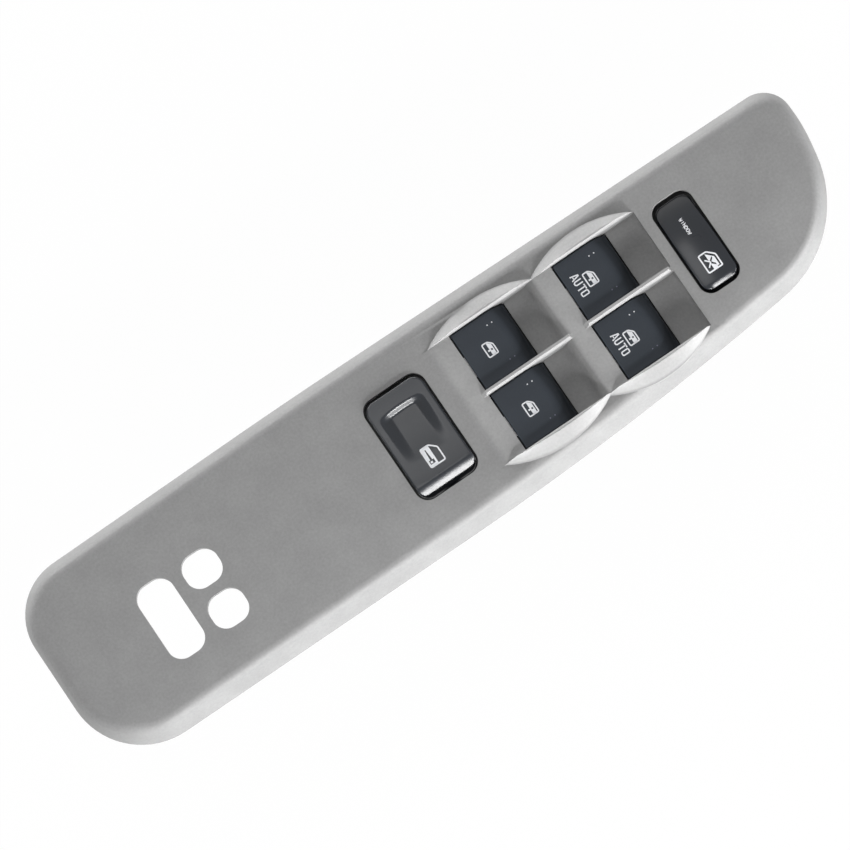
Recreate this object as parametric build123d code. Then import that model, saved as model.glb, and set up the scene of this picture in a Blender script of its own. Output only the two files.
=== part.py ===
from build123d import *
import math
import os

os.makedirs("parts", exist_ok=True)

# Driver's door master window switch, in millimetres.
# +X points to the nose of the panel (forward in the car), +Y to the door side, +Z up.
# The origin lies under the middle of the panel, on the plane that the switch box rests on.

# Heights
BOX_DEPTH = 24.5        # from the underside of the switch box to the rim of the trim plate
BEZEL_HEIGHT = 9.5      # from the rim of the trim plate to its flat top
RIM_Z = BOX_DEPTH
TOP_Z = RIM_Z + BEZEL_HEIGHT

# Hidden round pieces
ROUND_SIDES = 10        # pins, bores, bosses and screws are drawn with this many flats

# Trim plate outline. Shares are of the half length along X and of the half width along Y.
LENGTH = 301.0
WIDTH = 71.0
NOSE_BULGE = 0.23       # the front line's corner point stands this far past the half length
FAR_BULGE = 0.11        # and the far side's this far past the half width
NOSE_SWEEP_BACK = 7.0   # how far the near front corner point lies behind the nose
NOSE_SWEEP_SHARE = 0.685
NOSE_FRONT_SHARE = 0.434
NOSE_TIP_BACK = 0.4
NOSE_TIP_DROP = 2.5     # the far side falls this much from its widest point to the nose
TAIL_DROP = 0.9         # and this much from its widest point to the tail
NEAR_BEND_SHARE = 0.339
NEAR_BEND_REACH = 0.421 # the near side bends over this share to either side of that point
FAR_BEND_SHARE = -0.259
FAR_BEND_REACH = 0.152
TAIL_NEAR_RADIUS = WIDTH * 0.366
TAIL_FAR_RADIUS = WIDTH * 0.282
NOSE_SWEEP_RADIUS = WIDTH * 0.563
NOSE_FRONT_RADIUS = WIDTH * 0.845
NOSE_TIP_RADIUS = WIDTH * 0.141
SIDE_SLOPE = 4.0        # how far the long sides lean in from rim to top
END_SLOPE = 2.0         # how far the two ends lean in
EDGE_ROUND = 3.9        # rounding between the top and the sides
EDGE_BANDS = 3          # the rounding is made of this many bands
SKIN = 2.3              # wall of the moulding

# Window key cells
CELLS_Y = -1.1          # centre line of the four cells
FIN_WIDTH = 1.5
SIDE_MARGIN = 12.85     # from the side of the plate to the cells
CELL_WIDTH = (WIDTH - FIN_WIDTH) / 2 - SIDE_MARGIN
CELLS_HALF = CELL_WIDTH + FIN_WIDTH / 2
FRONT_KEY_X = LENGTH / 2 - 93.7     # rear edge of the opening for the front keys
REAR_KEY_X = FRONT_KEY_X - 39.8     # and for the rear keys
KEY_OPENING = 20.8
KEY_RISE = 0.8          # key tops stand this far above the flat top
CHEEK_RISE = 2.8
CHEEK_BULGE = 5.85
CHEEK_FLAT = 1.1
CHEEK_LEAD = 8.4        # a cheek starts this far behind the key
CHEEK_REACH = (12.5, 11.2)  # and ends this far past the openings of the rear and the front keys
CHEEK_RAMP = 6.5
CHEEK_END_RAMP = 1.5
CHEEK_FOOT = 5.0
CREST_BEVEL = 0.6       # on the edges of cheeks and fins that face the keys
FIN_BEAK = 2.0
FIN_BEAK_DROP = 2.2
SCOOP_DEPTH = 4.0
SCOOP_REACH = (13.7, 11.4)  # length of the finger scoops of the rear and the front keys
SCOOP_FLOOR = (5.0, 9.6)    # length of their flat floors
TUB_FLOOR = 2.0
TUB_WALL = 1.7
PAD_LEAD = 12.0         # the swelling behind the rear keys starts this far behind them
PAD_RAMP = 10.0

# Window keys
REAR_GAP = 0.45
FRONT_GAP = 0.5
SIDE_GAP = 0.35
CAP_WALL = 1.4
KEY_HINGE_BACK = 4.8    # from the key's rear face to its hinge
HINGE_DROP = 3.8        # from the flat top down to the hinge of a key
ROCKER_HINGE_DROP = 5.0 # and to the hinge of a rocker
KEY_SKIRT = 6.2         # the skirt ends this far below the flat top
KEY_CREST = 5.4         # length of the rolled front
CREST_DROP = 3.6
CREST_BANDS = 4         # the roll is made of this many bands
CREST_PLAN_RADIUS = 60.0
PIN_RADIUS = 1.25
PIN_LENGTH = 2.2
BORE_CLEARANCE = 0.07
POST_RADIUS = 2.5
POST_WIDTH = 2.2
POST_GAP = 0.3
LEG_THICK = 2.0
LEG_WIDTH = 3.6
TIP_RADIUS = 1.2
TIP_CLEARANCE = 0.25

# Rockers
LOCK_X = REAR_KEY_X - 25.6
LOCK_Y = -0.4
LOCK_OPENING = (23.2, WIDTH - 32.3)
LOCK_RADIUS = 4.6
LOCK_GAP = 0.8
LOCK_END_GAP = 1.2
LOCK_RISE = 1.6         # at its far end
LOCK_MIDDLE_RISE = 0.3
LOCK_ROLL = (4.25, 2.86)    # length and drop of its rounded near end
LOCK_ROLL_RISE = 1.06       # where that rounding starts
LOCK_FIELD_WIDTH = 12.4     # sunken field for a fingertip
LOCK_FIELD_DEPTH = 1.4
LOCK_FIELD_SHARE = 0.62     # its far wall stands at this share of the half length
LOCK_FIELD_END_SHARE = -0.33
LOCKOUT_X = LENGTH / 2 - 50.3
LOCKOUT_Y = 1.8
LOCKOUT_OPENING = (14.8, WIDTH - 35.8)
LOCKOUT_RADIUS = 4.4
LOCKOUT_RISE = 1.0
LOCKOUT_CROWN_RADIUS = 70.0
LOCKOUT_TILT = 4.0      # it is latched with its far end pressed
ROCKER_SKIRT = 6.4
ROCKER_ROOF = 2.0       # the hollow of a rocker ends this far below the flat top
ROCKER_POST_WIDTH = 1.8

# Mirror control cut-outs
MIRROR_Y = -3.7
SLOT_X = 42.3 - LENGTH / 2
SLOT_SIZE = (13.3, 27.7)
SLOT_RADIUS = 5.2
PAD_HOLE_X = SLOT_X + 17.3
PAD_HOLE_SIZE = (13.0, 12.0)
PAD_HOLE_RADIUS = 5.0
PAD_HOLE_PITCH = 15.6
MIRROR_BOSS_X = (SLOT_X - 15.8, SLOT_X + 34.2)
MIRROR_BOSS_Y = WIDTH / 2 - 16.5
MIRROR_BOSS_RADIUS = 2.8
SCREW_CORE_RADIUS = 1.1

# Switch box, board and cover
BOX_WALL = 1.6
BOX_TAIL_X = REAR_KEY_X - 4.4
BOX_NOSE_X = LOCKOUT_X + 10.4
BOX_HALF = CELLS_HALF + TUB_WALL
BOX_CORNER = (18.0, 4.0)    # its near front corner is cut back by this much
DECK_DROP = 8.6         # deck of the box below the flat top
DECK = 1.8
COVER = 1.8
SNAP_TAB = (8.0, 1.2, 7.2)
SNAP_TAB_IN = (20.0, 34.0)  # from the tail and from the nose of the box
BOARD_Z = 9.6           # top of the circuit board
BOARD = 1.6
BOARD_GAP = 0.3
BOARD_POST = 3.6
BOARD_POST_IN = (22.0, 20.0, 4.0)
SLIDER_LIFT = 0.9       # underside of a slider above the board
SLIDER_HEIGHT = 4.2
SLIDER_LENGTH = 11.0
SLIDER_WIDTH = 6.4
SLIDER_GAP = 0.3
TIP_LIFT = 3.1          # centre of a leg's tip above the board
CHAMBER_TRAVEL = 2.4
CHAMBER_WALL = 1.0
CHAMBER_LIFT = 0.6
SLOT_HALF = (3.2, 2.5)
BRIDGE = (8.0, 2.0, 0.4)
PAD = (2.6, 2.4, 0.2)
PAD_PITCH = 4.6
SPRING_STEEL = 0.3
SPRING_PLATE = (11.0, 7.6)
SPRING_WINDOW = 1.8
SPRING_TONGUE = 3.2
SPRING_GRIP = 0.6       # the tongues lie along the leg this far below and above its hinge
SPRING_GAP = 0.12
DETENT_WIDTH = 1.2
DETENT_DEPTH = 0.6
CHIP = (13.0, 9.0, 1.8)
CHIP_LIFT = 0.4
CHIP_FEET = 5
FOOT = (0.8, 0.7)
FOOT_PITCH = 2.4
FOOT_REACH = 1.5
RESISTOR = (2.0, 1.2, 0.7)
RESISTOR_COUNT = 4
RESISTOR_PITCH = 4.0
RESISTOR_ROW = 12.0     # from the middle of the board to either row
LAMP = (2.4, 1.6, 1.2)
LAMP_GAP = 1.4

# Door lock switch beneath the lock rocker
LOCK_BOX = (LOCK_OPENING[0] + 0.8, LOCK_OPENING[1] + 2.3)
LOCK_BASE_Z = 14.0
LOCK_BASE = 1.6
LOCK_EAR_Y = LOCK_BOX[1] / 2 + 4.1
TERMINAL = (0.8, 2.4, 9.0)
TERMINAL_PITCH = (13.0, 7.0)

# Connector on the nose side of the board
CONNECTOR_Y = 2.0
CONNECTOR_WIDTH = 27.0
CONNECTOR_HEIGHT = 11.0
CONNECTOR_BACK_X = BOX_NOSE_X - 2.6
CONNECTOR_FRONT_X = BOX_NOSE_X + 13.0
CONNECTOR_WALL = 1.4
CONNECTOR_FLOOR = 3.0
CONNECTOR_GAP = 0.2
PIN_SIZE = 0.8
PIN_COUNT = 7
PIN_PITCH = 3.2
PIN_ROW_Z = (3.6, 7.4)
PIN_REACH = 6.5

# Fasteners
SCREW_SHANK_RADIUS = 1.1
SCREW_HEAD_RADIUS = 2.6
SCREW_HEAD = 1.7
SCREW_LENGTH = 8.0
EAR = 2.0
EAR_HALF = 3.4
EAR_HOLE_RADIUS = 1.5
BOSS_RADIUS = 3.0
EAR_Z = 22.0
TAIL_EAR = (4.2, 6.4)   # how far the ears at the tail stand out, and how far in from the box's sides
NOSE_EAR = (4.6, 4.7)   # and at the nose, beside the connector
CLIP_BLADE = (9.0, 1.6, 13.0)
CLIP_END_IN = (13.5, 16.5)  # from the tail and the nose of the plate to the end clips
CLIP_SIDE_IN = (10.5, 11.5) # from the near and the far side to the middle clips
CLIP_LOCK_X = 41.4      # from the lock rocker to the middle clips
CLIP_STEEL = 0.5
CLIP_WIDTH = 7.0
CLIP_SPREAD = 2.4
CLIP_HEIGHT = 10.0
RIB = 1.2
RIB_DEPTH = 4.0
RIB_LOCK_X = (53.4, 29.4)   # from the lock rocker to the two ribs behind the plate
NOSE_RIB_IN = 24.5

# Places worked out from the sizes above
FAR_CELL_Y = CELLS_Y + (CELL_WIDTH + FIN_WIDTH) / 2
NEAR_CELL_Y = CELLS_Y - (CELL_WIDTH + FIN_WIDTH) / 2
KEY_WIDTH = CELL_WIDTH - 2 * SIDE_GAP
KEY_LENGTH = KEY_OPENING - REAR_GAP - FRONT_GAP
KEY_TOP_Z = TOP_Z + KEY_RISE
KEY_HINGE_Z = TOP_Z - HINGE_DROP
ROCKER_HINGE_Z = TOP_Z - ROCKER_HINGE_DROP
DECK_Z = TOP_Z - DECK_DROP
TIP_Z = BOARD_Z + TIP_LIFT
LOCK_TIP_Z = LOCK_BASE_Z + TIP_LIFT
LOCKOUT_SHIFT = (ROCKER_HINGE_Z - TIP_Z) * math.sin(math.radians(LOCKOUT_TILT))
BOX_SCREWS = [
    (BOX_TAIL_X - TAIL_EAR[0], CELLS_Y - BOX_HALF + TAIL_EAR[1]),
    (BOX_TAIL_X - TAIL_EAR[0], CELLS_Y + BOX_HALF - TAIL_EAR[1]),
    (BOX_NOSE_X + NOSE_EAR[0], CONNECTOR_Y - CONNECTOR_WIDTH / 2 - NOSE_EAR[1]),
    (BOX_NOSE_X + NOSE_EAR[0], CONNECTOR_Y + CONNECTOR_WIDTH / 2 + NOSE_EAR[1]),
]
CLIP_PLACES = [
    (CLIP_END_IN[0] - LENGTH / 2, 0.0, 90.0),
    (LOCK_X - CLIP_LOCK_X, CLIP_SIDE_IN[0] - WIDTH / 2, 0.0),
    (LOCK_X - CLIP_LOCK_X, WIDTH / 2 - CLIP_SIDE_IN[1], 0.0),
    (LENGTH / 2 - CLIP_END_IN[1], 8.0, 90.0),
]
KEYS = {
    "rear_left": (REAR_KEY_X, FAR_CELL_Y),
    "rear_right": (REAR_KEY_X, NEAR_CELL_Y),
    "front_left": (FRONT_KEY_X, FAR_CELL_Y),
    "front_right": (FRONT_KEY_X, NEAR_CELL_Y),
}


def block(x0, x1, y0, y1, z0, z1):
    """A box between two corners."""
    middle = Pos((x0 + x1) / 2, (y0 + y1) / 2, (z0 + z1) / 2)
    return middle * Box(x1 - x0, y1 - y0, z1 - z0)


def rounded_block(x, y, size, radius, z0, z1):
    """An upright block with rounded corners."""
    return Pos(x, y, z0) * extrude(RectangleRounded(size[0], size[1], radius), amount=z1 - z0)


def rod(radius, length):
    """A small round rod about Z, with its middle at the origin."""
    return extrude(RegularPolygon(radius, ROUND_SIDES), amount=length / 2, both=True)


def bore(radius, length):
    """The space of a small round hole about Z, wide enough for a rod of the same radius."""
    return extrude(RegularPolygon(radius, ROUND_SIDES, major_radius=False), amount=length / 2, both=True)


def post(x, y, radius, z0, z1):
    """An upright round post."""
    return Pos(x, y, (z0 + z1) / 2) * rod(radius, z1 - z0)


def drilled(x, y, radius, z0, z1):
    """The space of an upright round hole."""
    return Pos(x, y, (z0 + z1) / 2) * bore(radius, z1 - z0)


def profile_along_y(line, y0, y1):
    """A closed line drawn in X and Z, carried from y0 to y1."""
    face = Pos(0, y1, 0) * (Plane.XZ * make_face(line))
    return extrude(face, amount=y1 - y0)


def profile_along_x(line, x0, x1):
    """A closed line drawn in Y and Z, carried from x0 to x1."""
    face = Pos(x0, 0, 0) * (Plane.YZ * make_face(line))
    return extrude(face, amount=x1 - x0)


def hinge_x(key_x):
    """Where the hinge of a key lies, from the rear edge of its opening."""
    return key_x + REAR_GAP + KEY_HINGE_BACK


# Trim plate

def bend_radius(before, corner, after, reach):
    """The radius that rounds a corner point over a given reach to either side of it."""
    turn_in = math.atan2(corner[1] - before[1], corner[0] - before[0])
    turn_out = math.atan2(after[1] - corner[1], after[0] - corner[0])
    turn = (turn_out - turn_in) % (2 * math.pi)
    return reach / math.tan(turn / 2)


def outline(z, end_inset, side_inset):
    """Plan outline of the trim plate at one height, drawn in at the ends and at the sides."""
    half_length = LENGTH / 2
    half_width = WIDTH / 2
    along = 1 - end_inset / half_length
    across = 1 - side_inset / half_width
    corners = [
        (-half_length, -half_width),
        (half_length * NEAR_BEND_SHARE, -half_width),
        (half_length - NOSE_SWEEP_BACK, -half_width * NOSE_SWEEP_SHARE),
        (half_length + NOSE_BULGE, half_width * NOSE_FRONT_SHARE),
        (half_length - NOSE_TIP_BACK, half_width - NOSE_TIP_DROP),
        (half_length * FAR_BEND_SHARE, half_width + FAR_BULGE),
        (-half_length, half_width - TAIL_DROP),
    ]
    points = [(x * along, y * across) for x, y in corners]
    near_bend = bend_radius(points[0], points[1], points[2], NEAR_BEND_REACH * half_length * along)
    far_bend = bend_radius(points[4], points[5], points[6], FAR_BEND_REACH * half_length * along)
    radii = [
        TAIL_NEAR_RADIUS * across, near_bend, NOSE_SWEEP_RADIUS * across, NOSE_FRONT_RADIUS * across,
        NOSE_TIP_RADIUS * across, far_bend, TAIL_FAR_RADIUS * across,
    ]
    return Pos(0, 0, z) * make_face(FilletPolyline(*points, radius=radii, close=True))


def edge_inset(slope, z):
    """How far a wall has come in at one height: straight up to the rounding, then along its arc."""
    length = math.hypot(slope, BEZEL_HEIGHT)
    middle_z = TOP_Z - EDGE_ROUND
    middle = (EDGE_ROUND * length + (middle_z - RIM_Z) * slope) / BEZEL_HEIGHT
    if z <= middle_z + EDGE_ROUND * slope / length:
        return slope * (z - RIM_Z) / BEZEL_HEIGHT
    return middle - math.sqrt(max(0.0, EDGE_ROUND ** 2 - (z - middle_z) ** 2))


def plate_shell():
    """The open-backed moulding: sloped sides, rounded top edge, even wall."""
    lean = math.atan2(SIDE_SLOPE, BEZEL_HEIGHT)
    heights = [RIM_Z]
    for step in range(EDGE_BANDS + 1):
        angle = lean + (math.pi / 2 - lean) * step / EDGE_BANDS
        heights.append(TOP_Z - EDGE_ROUND * (1 - math.sin(angle)))
    outer = loft([outline(z, edge_inset(END_SLOPE, z), edge_inset(SIDE_SLOPE, z)) for z in heights], ruled=True)
    reach = (BEZEL_HEIGHT - SKIN) / BEZEL_HEIGHT
    inner = loft([
        outline(RIM_Z, SKIN, SKIN),
        outline(TOP_Z - SKIN, SKIN + END_SLOPE * reach, SKIN + SIDE_SLOPE * reach),
    ], ruled=True)
    return outer - inner


def lens(x0, x1, chord_y, bulge, z):
    """A straight chord closed by an arc."""
    chord = Line((x0, chord_y), (x1, chord_y))
    bow = ThreePointArc((x1, chord_y), ((x0 + x1) / 2, chord_y + bulge), (x0, chord_y))
    return Pos(0, 0, z) * make_face([chord, bow])


def cheek(side, key_x, end_x):
    """A raised crescent beside a pair of keys: straight inner wall, bowed and sloping outside."""
    chord_y = CELLS_Y + side * CELLS_HALF
    start_x = key_x - CHEEK_LEAD
    crest_z = TOP_Z + CHEEK_RISE
    foot = lens(start_x, end_x, chord_y, side * CHEEK_BULGE, TOP_Z)
    crest_start = start_x + CHEEK_RAMP
    crest_end = end_x - CHEEK_END_RAMP
    crest = lens(crest_start, crest_end, chord_y, side * CHEEK_FLAT, crest_z)
    root = lens(start_x, end_x, chord_y, side * CHEEK_BULGE, TOP_Z - CHEEK_FOOT)
    bevel = Polyline(
        (chord_y - side, crest_z + 1),
        (chord_y - side, crest_z - CREST_BEVEL - 1),
        (chord_y, crest_z - CREST_BEVEL),
        (chord_y + side * (CREST_BEVEL + 1), crest_z + 1),
        close=True,
    )
    crescent = loft([foot, crest], ruled=True) - profile_along_x(bevel, start_x - 1, end_x + 1)
    return crescent + extrude(root, amount=CHEEK_FOOT, dir=(0, 0, 1))


def fin(key_x, end_x):
    """The thin upright between two cells, with a beak behind the keys."""
    crest_z = TOP_Z + CHEEK_RISE
    bottom_z = TOP_Z - SCOOP_DEPTH - TUB_FLOOR
    line = Polyline(
        (key_x - FIN_BEAK, bottom_z),
        (key_x - FIN_BEAK, crest_z - FIN_BEAK_DROP),
        (key_x, crest_z),
        (end_x - FIN_BEAK / 2, crest_z),
        (end_x - FIN_BEAK / 4, crest_z - FIN_BEAK_DROP / 2),
        (end_x - FIN_BEAK / 4, bottom_z),
        close=True,
    )
    upright = profile_along_y(line, CELLS_Y - FIN_WIDTH / 2, CELLS_Y + FIN_WIDTH / 2)
    crest = upright.edges().filter_by(Axis.X).group_by(Axis.Z)[-1]
    return chamfer(crest.sort_by(Axis.Y)[0], CREST_BEVEL)


def scoop(key_x, end_x, floor_length, y, land_z, soft):
    """The space cut for a finger in front of a key; a soft one runs out into the land beyond it."""
    start_x = key_x + KEY_OPENING
    floor_x = start_x + floor_length
    floor_z = TOP_Z - SCOOP_DEPTH
    above_z = TOP_Z + CHEEK_RISE + 1
    line = [Line((start_x - 1, floor_z), (floor_x, floor_z))]
    if soft:
        middle = ((floor_x + end_x) / 2, (floor_z + land_z) / 2)
        line.append(TangentArc((floor_x, floor_z), middle, tangent=(1, 0)))
        line.append(TangentArc((end_x, land_z), middle, tangent=(-1, 0)))
    else:
        line.append(TangentArc((floor_x, floor_z), (end_x, land_z), tangent=(1, 0)))
    line.append(Polyline((end_x, land_z), (end_x, above_z), (start_x - 1, above_z), (start_x - 1, floor_z)))
    return profile_along_y(line, y - CELL_WIDTH / 2, y + CELL_WIDTH / 2)


def raised_land():
    """The top swells up behind the rear keys and stays up as far as the front keys."""
    land_z = TOP_Z + KEY_RISE
    start_x = REAR_KEY_X - PAD_LEAD
    end_x = FRONT_KEY_X + 1
    middle = (start_x + PAD_RAMP / 2, TOP_Z + KEY_RISE / 2)
    rise_end = (start_x + PAD_RAMP, land_z)
    line = [
        TangentArc((start_x, TOP_Z), middle, tangent=(1, 0)),
        TangentArc(rise_end, middle, tangent=(-1, 0)),
        Polyline(rise_end, (end_x, land_z), (end_x, TOP_Z - 1), (start_x, TOP_Z - 1), (start_x, TOP_Z)),
    ]
    return profile_along_y(line, CELLS_Y - CELLS_HALF, CELLS_Y + CELLS_HALF)


def tub(key_x, end_x):
    """The walls under the plate that hold a pair of scoops and keys."""
    half = CELLS_HALF + TUB_WALL
    bottom_z = TOP_Z - SCOOP_DEPTH - TUB_FLOOR
    return block(key_x - TUB_WALL, end_x + TUB_WALL, CELLS_Y - half, CELLS_Y + half, bottom_z, TOP_Z)


def boss(x, y, radius, bottom_z, hole_radius):
    """A screw boss that hangs from the plate, with its hole."""
    solid = post(x, y, radius, bottom_z, TOP_Z - SKIN / 2)
    hole = drilled(x, y, hole_radius, bottom_z - 1, TOP_Z - SKIN)
    return solid, hole


def clip_blade(x, y, turn):
    """A blade under the plate that a spring clip is pushed on to."""
    length, thick, depth = CLIP_BLADE
    blade = Pos(0, 0, -depth / 2) * Box(length, thick, depth)
    return Pos(x, y, TOP_Z - SKIN / 2) * Rot(0, 0, turn) * blade


def plate_ribs():
    """Stiffening ribs across the underside of the tail and the nose."""
    z1 = TOP_Z - SKIN / 2
    z0 = z1 - RIB_DEPTH
    half = WIDTH / 2 - SIDE_SLOPE - SKIN
    places = [LOCK_X - step for step in RIB_LOCK_X]
    ribs = [block(x - RIB / 2, x + RIB / 2, -half, half, z0, z1) for x in places]
    ribs.append(block(places[0], places[1], -RIB / 2, RIB / 2, z0, z1))
    nose_x = LENGTH / 2 - NOSE_RIB_IN
    ribs.append(block(nose_x, nose_x + RIB, -half / 2, half - 1, z0, z1))
    return ribs


def make_bezel():
    """The long trim plate as one moulding."""
    bezel = plate_shell()
    for rib in plate_ribs():
        bezel += rib
    lands = (TOP_Z + KEY_RISE, TOP_Z)
    pairs = []
    for key_x, scoop_reach, cheek_reach in zip((REAR_KEY_X, FRONT_KEY_X), SCOOP_REACH, CHEEK_REACH):
        front_x = key_x + KEY_OPENING
        pairs.append((key_x, front_x + scoop_reach, front_x + cheek_reach))
    bezel += raised_land()
    for key_x, end_x, cheek_end_x in pairs:
        bezel += tub(key_x, end_x)
        bezel += cheek(1, key_x, cheek_end_x)
        bezel += cheek(-1, key_x, cheek_end_x)
    for (key_x, end_x, cheek_end_x), floor_length, land_z in zip(pairs, SCOOP_FLOOR, lands):
        for y in (FAR_CELL_Y, NEAR_CELL_Y):
            low_y = y - CELL_WIDTH / 2
            high_y = y + CELL_WIDTH / 2
            bezel -= block(key_x, key_x + KEY_OPENING, low_y, high_y, RIM_Z, TOP_Z + CHEEK_RISE + 1)
            bezel -= scoop(key_x, end_x, floor_length, y, land_z, land_z > TOP_Z)
        bezel += fin(key_x, cheek_end_x)
    bezel -= rounded_block(LOCK_X, LOCK_Y, LOCK_OPENING, LOCK_RADIUS, RIM_Z, TOP_Z + 1)
    bezel -= rounded_block(LOCKOUT_X, LOCKOUT_Y, LOCKOUT_OPENING, LOCKOUT_RADIUS, RIM_Z, TOP_Z + 1)
    bezel -= rounded_block(SLOT_X, MIRROR_Y, SLOT_SIZE, SLOT_RADIUS, RIM_Z, TOP_Z + 1)
    for side in (-1, 1):
        y = MIRROR_Y + side * PAD_HOLE_PITCH / 2
        bezel -= rounded_block(PAD_HOLE_X, y, PAD_HOLE_SIZE, PAD_HOLE_RADIUS, RIM_Z, TOP_Z + 1)
    bosses = [boss(x, y, BOSS_RADIUS, EAR_Z + EAR, SCREW_CORE_RADIUS) for x, y in BOX_SCREWS]
    for side in (-1, 1):
        y = LOCK_Y + side * LOCK_EAR_Y
        bosses.append(boss(LOCK_X, y, MIRROR_BOSS_RADIUS, EAR_Z + EAR, SCREW_CORE_RADIUS))
        for x in MIRROR_BOSS_X:
            mirror_boss_y = MIRROR_Y + side * MIRROR_BOSS_Y
            solid = post(x, mirror_boss_y, MIRROR_BOSS_RADIUS, RIM_Z, TOP_Z - SKIN / 2)
            depth = BEZEL_HEIGHT - SKIN
            core = Pos(x, mirror_boss_y, RIM_Z + depth / 2 - 0.5) * Cylinder(SCREW_CORE_RADIUS, depth + 1)
            bosses.append((solid, core))
    for solid, hole in bosses:
        bezel += solid
    for x, y, turn in CLIP_PLACES:
        bezel += clip_blade(x, y, turn)
    for solid, hole in bosses:
        bezel -= hole
    return bezel


# Keys and rockers

def key_leg(x, y, top_z, tip_z):
    """A flat leg under a cap that ends in a round tip, broad across Y."""
    half = LEG_THICK / 2
    leg = block(x - half, x + half, y - LEG_WIDTH / 2, y + LEG_WIDTH / 2, tip_z, top_z)
    return leg + Pos(x, y, tip_z) * Rot(90, 0, 0) * rod(TIP_RADIUS, LEG_WIDTH)


def roll_points(start):
    """Points along the rolled front of a key: an arc that leaves the flat top at start."""
    radius = (KEY_CREST ** 2 + CREST_DROP ** 2) / (2 * CREST_DROP)
    sweep = math.asin(KEY_CREST / radius)
    points = []
    for step in range(CREST_BANDS + 1):
        angle = sweep * step / CREST_BANDS
        points.append((start + radius * math.sin(angle), KEY_TOP_Z - radius * (1 - math.cos(angle))))
    return points


def make_key(key_x, y):
    """A hollow window key: flat top, front rolled down to a bowed crest, hinge pins, leg."""
    rear_x = key_x + REAR_GAP
    front_x = rear_x + KEY_LENGTH
    low_y = y - KEY_WIDTH / 2
    high_y = y + KEY_WIDTH / 2
    skirt_z = TOP_Z - KEY_SKIRT
    cap = block(rear_x, front_x, low_y, high_y, skirt_z, KEY_TOP_Z)
    crest_radius = CREST_PLAN_RADIUS - KEY_CREST
    crest_z = KEY_TOP_Z - CREST_DROP
    outside_radius = CREST_PLAN_RADIUS + KEY_CREST
    roll = roll_points(crest_radius)
    roll += [(outside_radius, crest_z), (outside_radius, KEY_TOP_Z + 1), (crest_radius, KEY_TOP_Z + 1)]
    ring = revolve(Plane.XZ * make_face(Polyline(*roll, close=True)), Axis.Z)
    cap -= Pos(front_x - CREST_PLAN_RADIUS, y, 0) * ring
    inner_x0 = rear_x + CAP_WALL
    inner_y0 = low_y + CAP_WALL
    inner_y1 = high_y - CAP_WALL
    under_z = KEY_TOP_Z - CAP_WALL
    cap -= block(inner_x0, front_x - KEY_CREST - CAP_WALL / 2, inner_y0, inner_y1, skirt_z - 1, under_z)
    cap -= block(inner_x0, front_x - CAP_WALL, inner_y0, inner_y1, skirt_z - 1, crest_z - CAP_WALL)
    x = hinge_x(key_x)
    for side in (-1, 1):
        pin_y = y + side * (KEY_WIDTH / 2 - CAP_WALL - PIN_LENGTH / 2 + 0.1)
        cap += Pos(x, pin_y, KEY_HINGE_Z) * Rot(90, 0, 0) * rod(PIN_RADIUS, PIN_LENGTH + 0.2)
    return cap + key_leg(x, y, under_z + 0.2, TIP_Z)


def rocker_size(opening):
    """Plan size of the rocker that fits an opening."""
    return opening[0] - 2 * LOCK_GAP, opening[1] - 2 * LOCK_END_GAP


def rocker_inside(x, y, size, tip_z):
    """The hollow, hinge pins and leg of a rocker that turns about an axis along X."""
    roof_z = TOP_Z - ROCKER_ROOF
    inner = (size[0] - 2 * CAP_WALL, size[1] - 2 * CAP_WALL)
    hollow = block(
        x - inner[0] / 2, x + inner[0] / 2, y - inner[1] / 2, y + inner[1] / 2,
        TOP_Z - ROCKER_SKIRT - 1, roof_z,
    )
    pins = []
    for side in (-1, 1):
        pin_x = x + side * (inner[0] / 2 - PIN_LENGTH / 2 + 0.1)
        pins.append(Pos(pin_x, y, ROCKER_HINGE_Z) * Rot(0, 90, 0) * rod(PIN_RADIUS, PIN_LENGTH + 0.2))
    leg = Pos(x, y, 0) * Rot(0, 0, 90) * key_leg(0, 0, roof_z + 0.2, tip_z)
    return hollow, pins, leg


def make_lock_rocker():
    """The door lock rocker: hollow along its length, near end rolled over, sunken finger field."""
    size = rocker_size(LOCK_OPENING)
    half = size[1] / 2
    skirt_z = TOP_Z - ROCKER_SKIRT
    roll_start = (LOCK_ROLL[0] - half, TOP_Z + LOCK_ROLL_RISE)
    roll_end = (-half, TOP_Z + LOCK_ROLL_RISE - LOCK_ROLL[1])
    far_end = (half, TOP_Z + LOCK_RISE)
    profile = [
        ThreePointArc(far_end, (0, TOP_Z + LOCK_MIDDLE_RISE), roll_start),
        TangentArc(roll_start, roll_end, tangent=(-1, 0)),
        Polyline(roll_end, (-half, skirt_z), (half, skirt_z), far_end),
    ]
    cap = profile_along_x(profile, -size[0] / 2, size[0] / 2)
    cap &= rounded_block(0, 0, size, LOCK_RADIUS - LOCK_GAP, skirt_z, TOP_Z + 2 * LOCK_RISE)
    wall_y = half * LOCK_FIELD_SHARE
    floor_z = TOP_Z + LOCK_MIDDLE_RISE + LOCK_RISE / 4 - LOCK_FIELD_DEPTH
    field = Polyline(
        (half * LOCK_FIELD_END_SHARE, TOP_Z + LOCK_MIDDLE_RISE + LOCK_RISE / 10),
        (wall_y, floor_z),
        (wall_y + 2 * LOCK_FIELD_DEPTH, floor_z + 2 * LOCK_FIELD_DEPTH),
        (half * LOCK_FIELD_END_SHARE, floor_z + 2 * LOCK_FIELD_DEPTH),
        close=True,
    )
    cap -= profile_along_x(field, -LOCK_FIELD_WIDTH / 2, LOCK_FIELD_WIDTH / 2)
    hollow, pins, leg = rocker_inside(LOCK_X, LOCK_Y, size, LOCK_TIP_Z)
    cap = Pos(LOCK_X, LOCK_Y, 0) * cap - hollow
    for pin in pins:
        cap += pin
    return cap + leg


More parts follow.
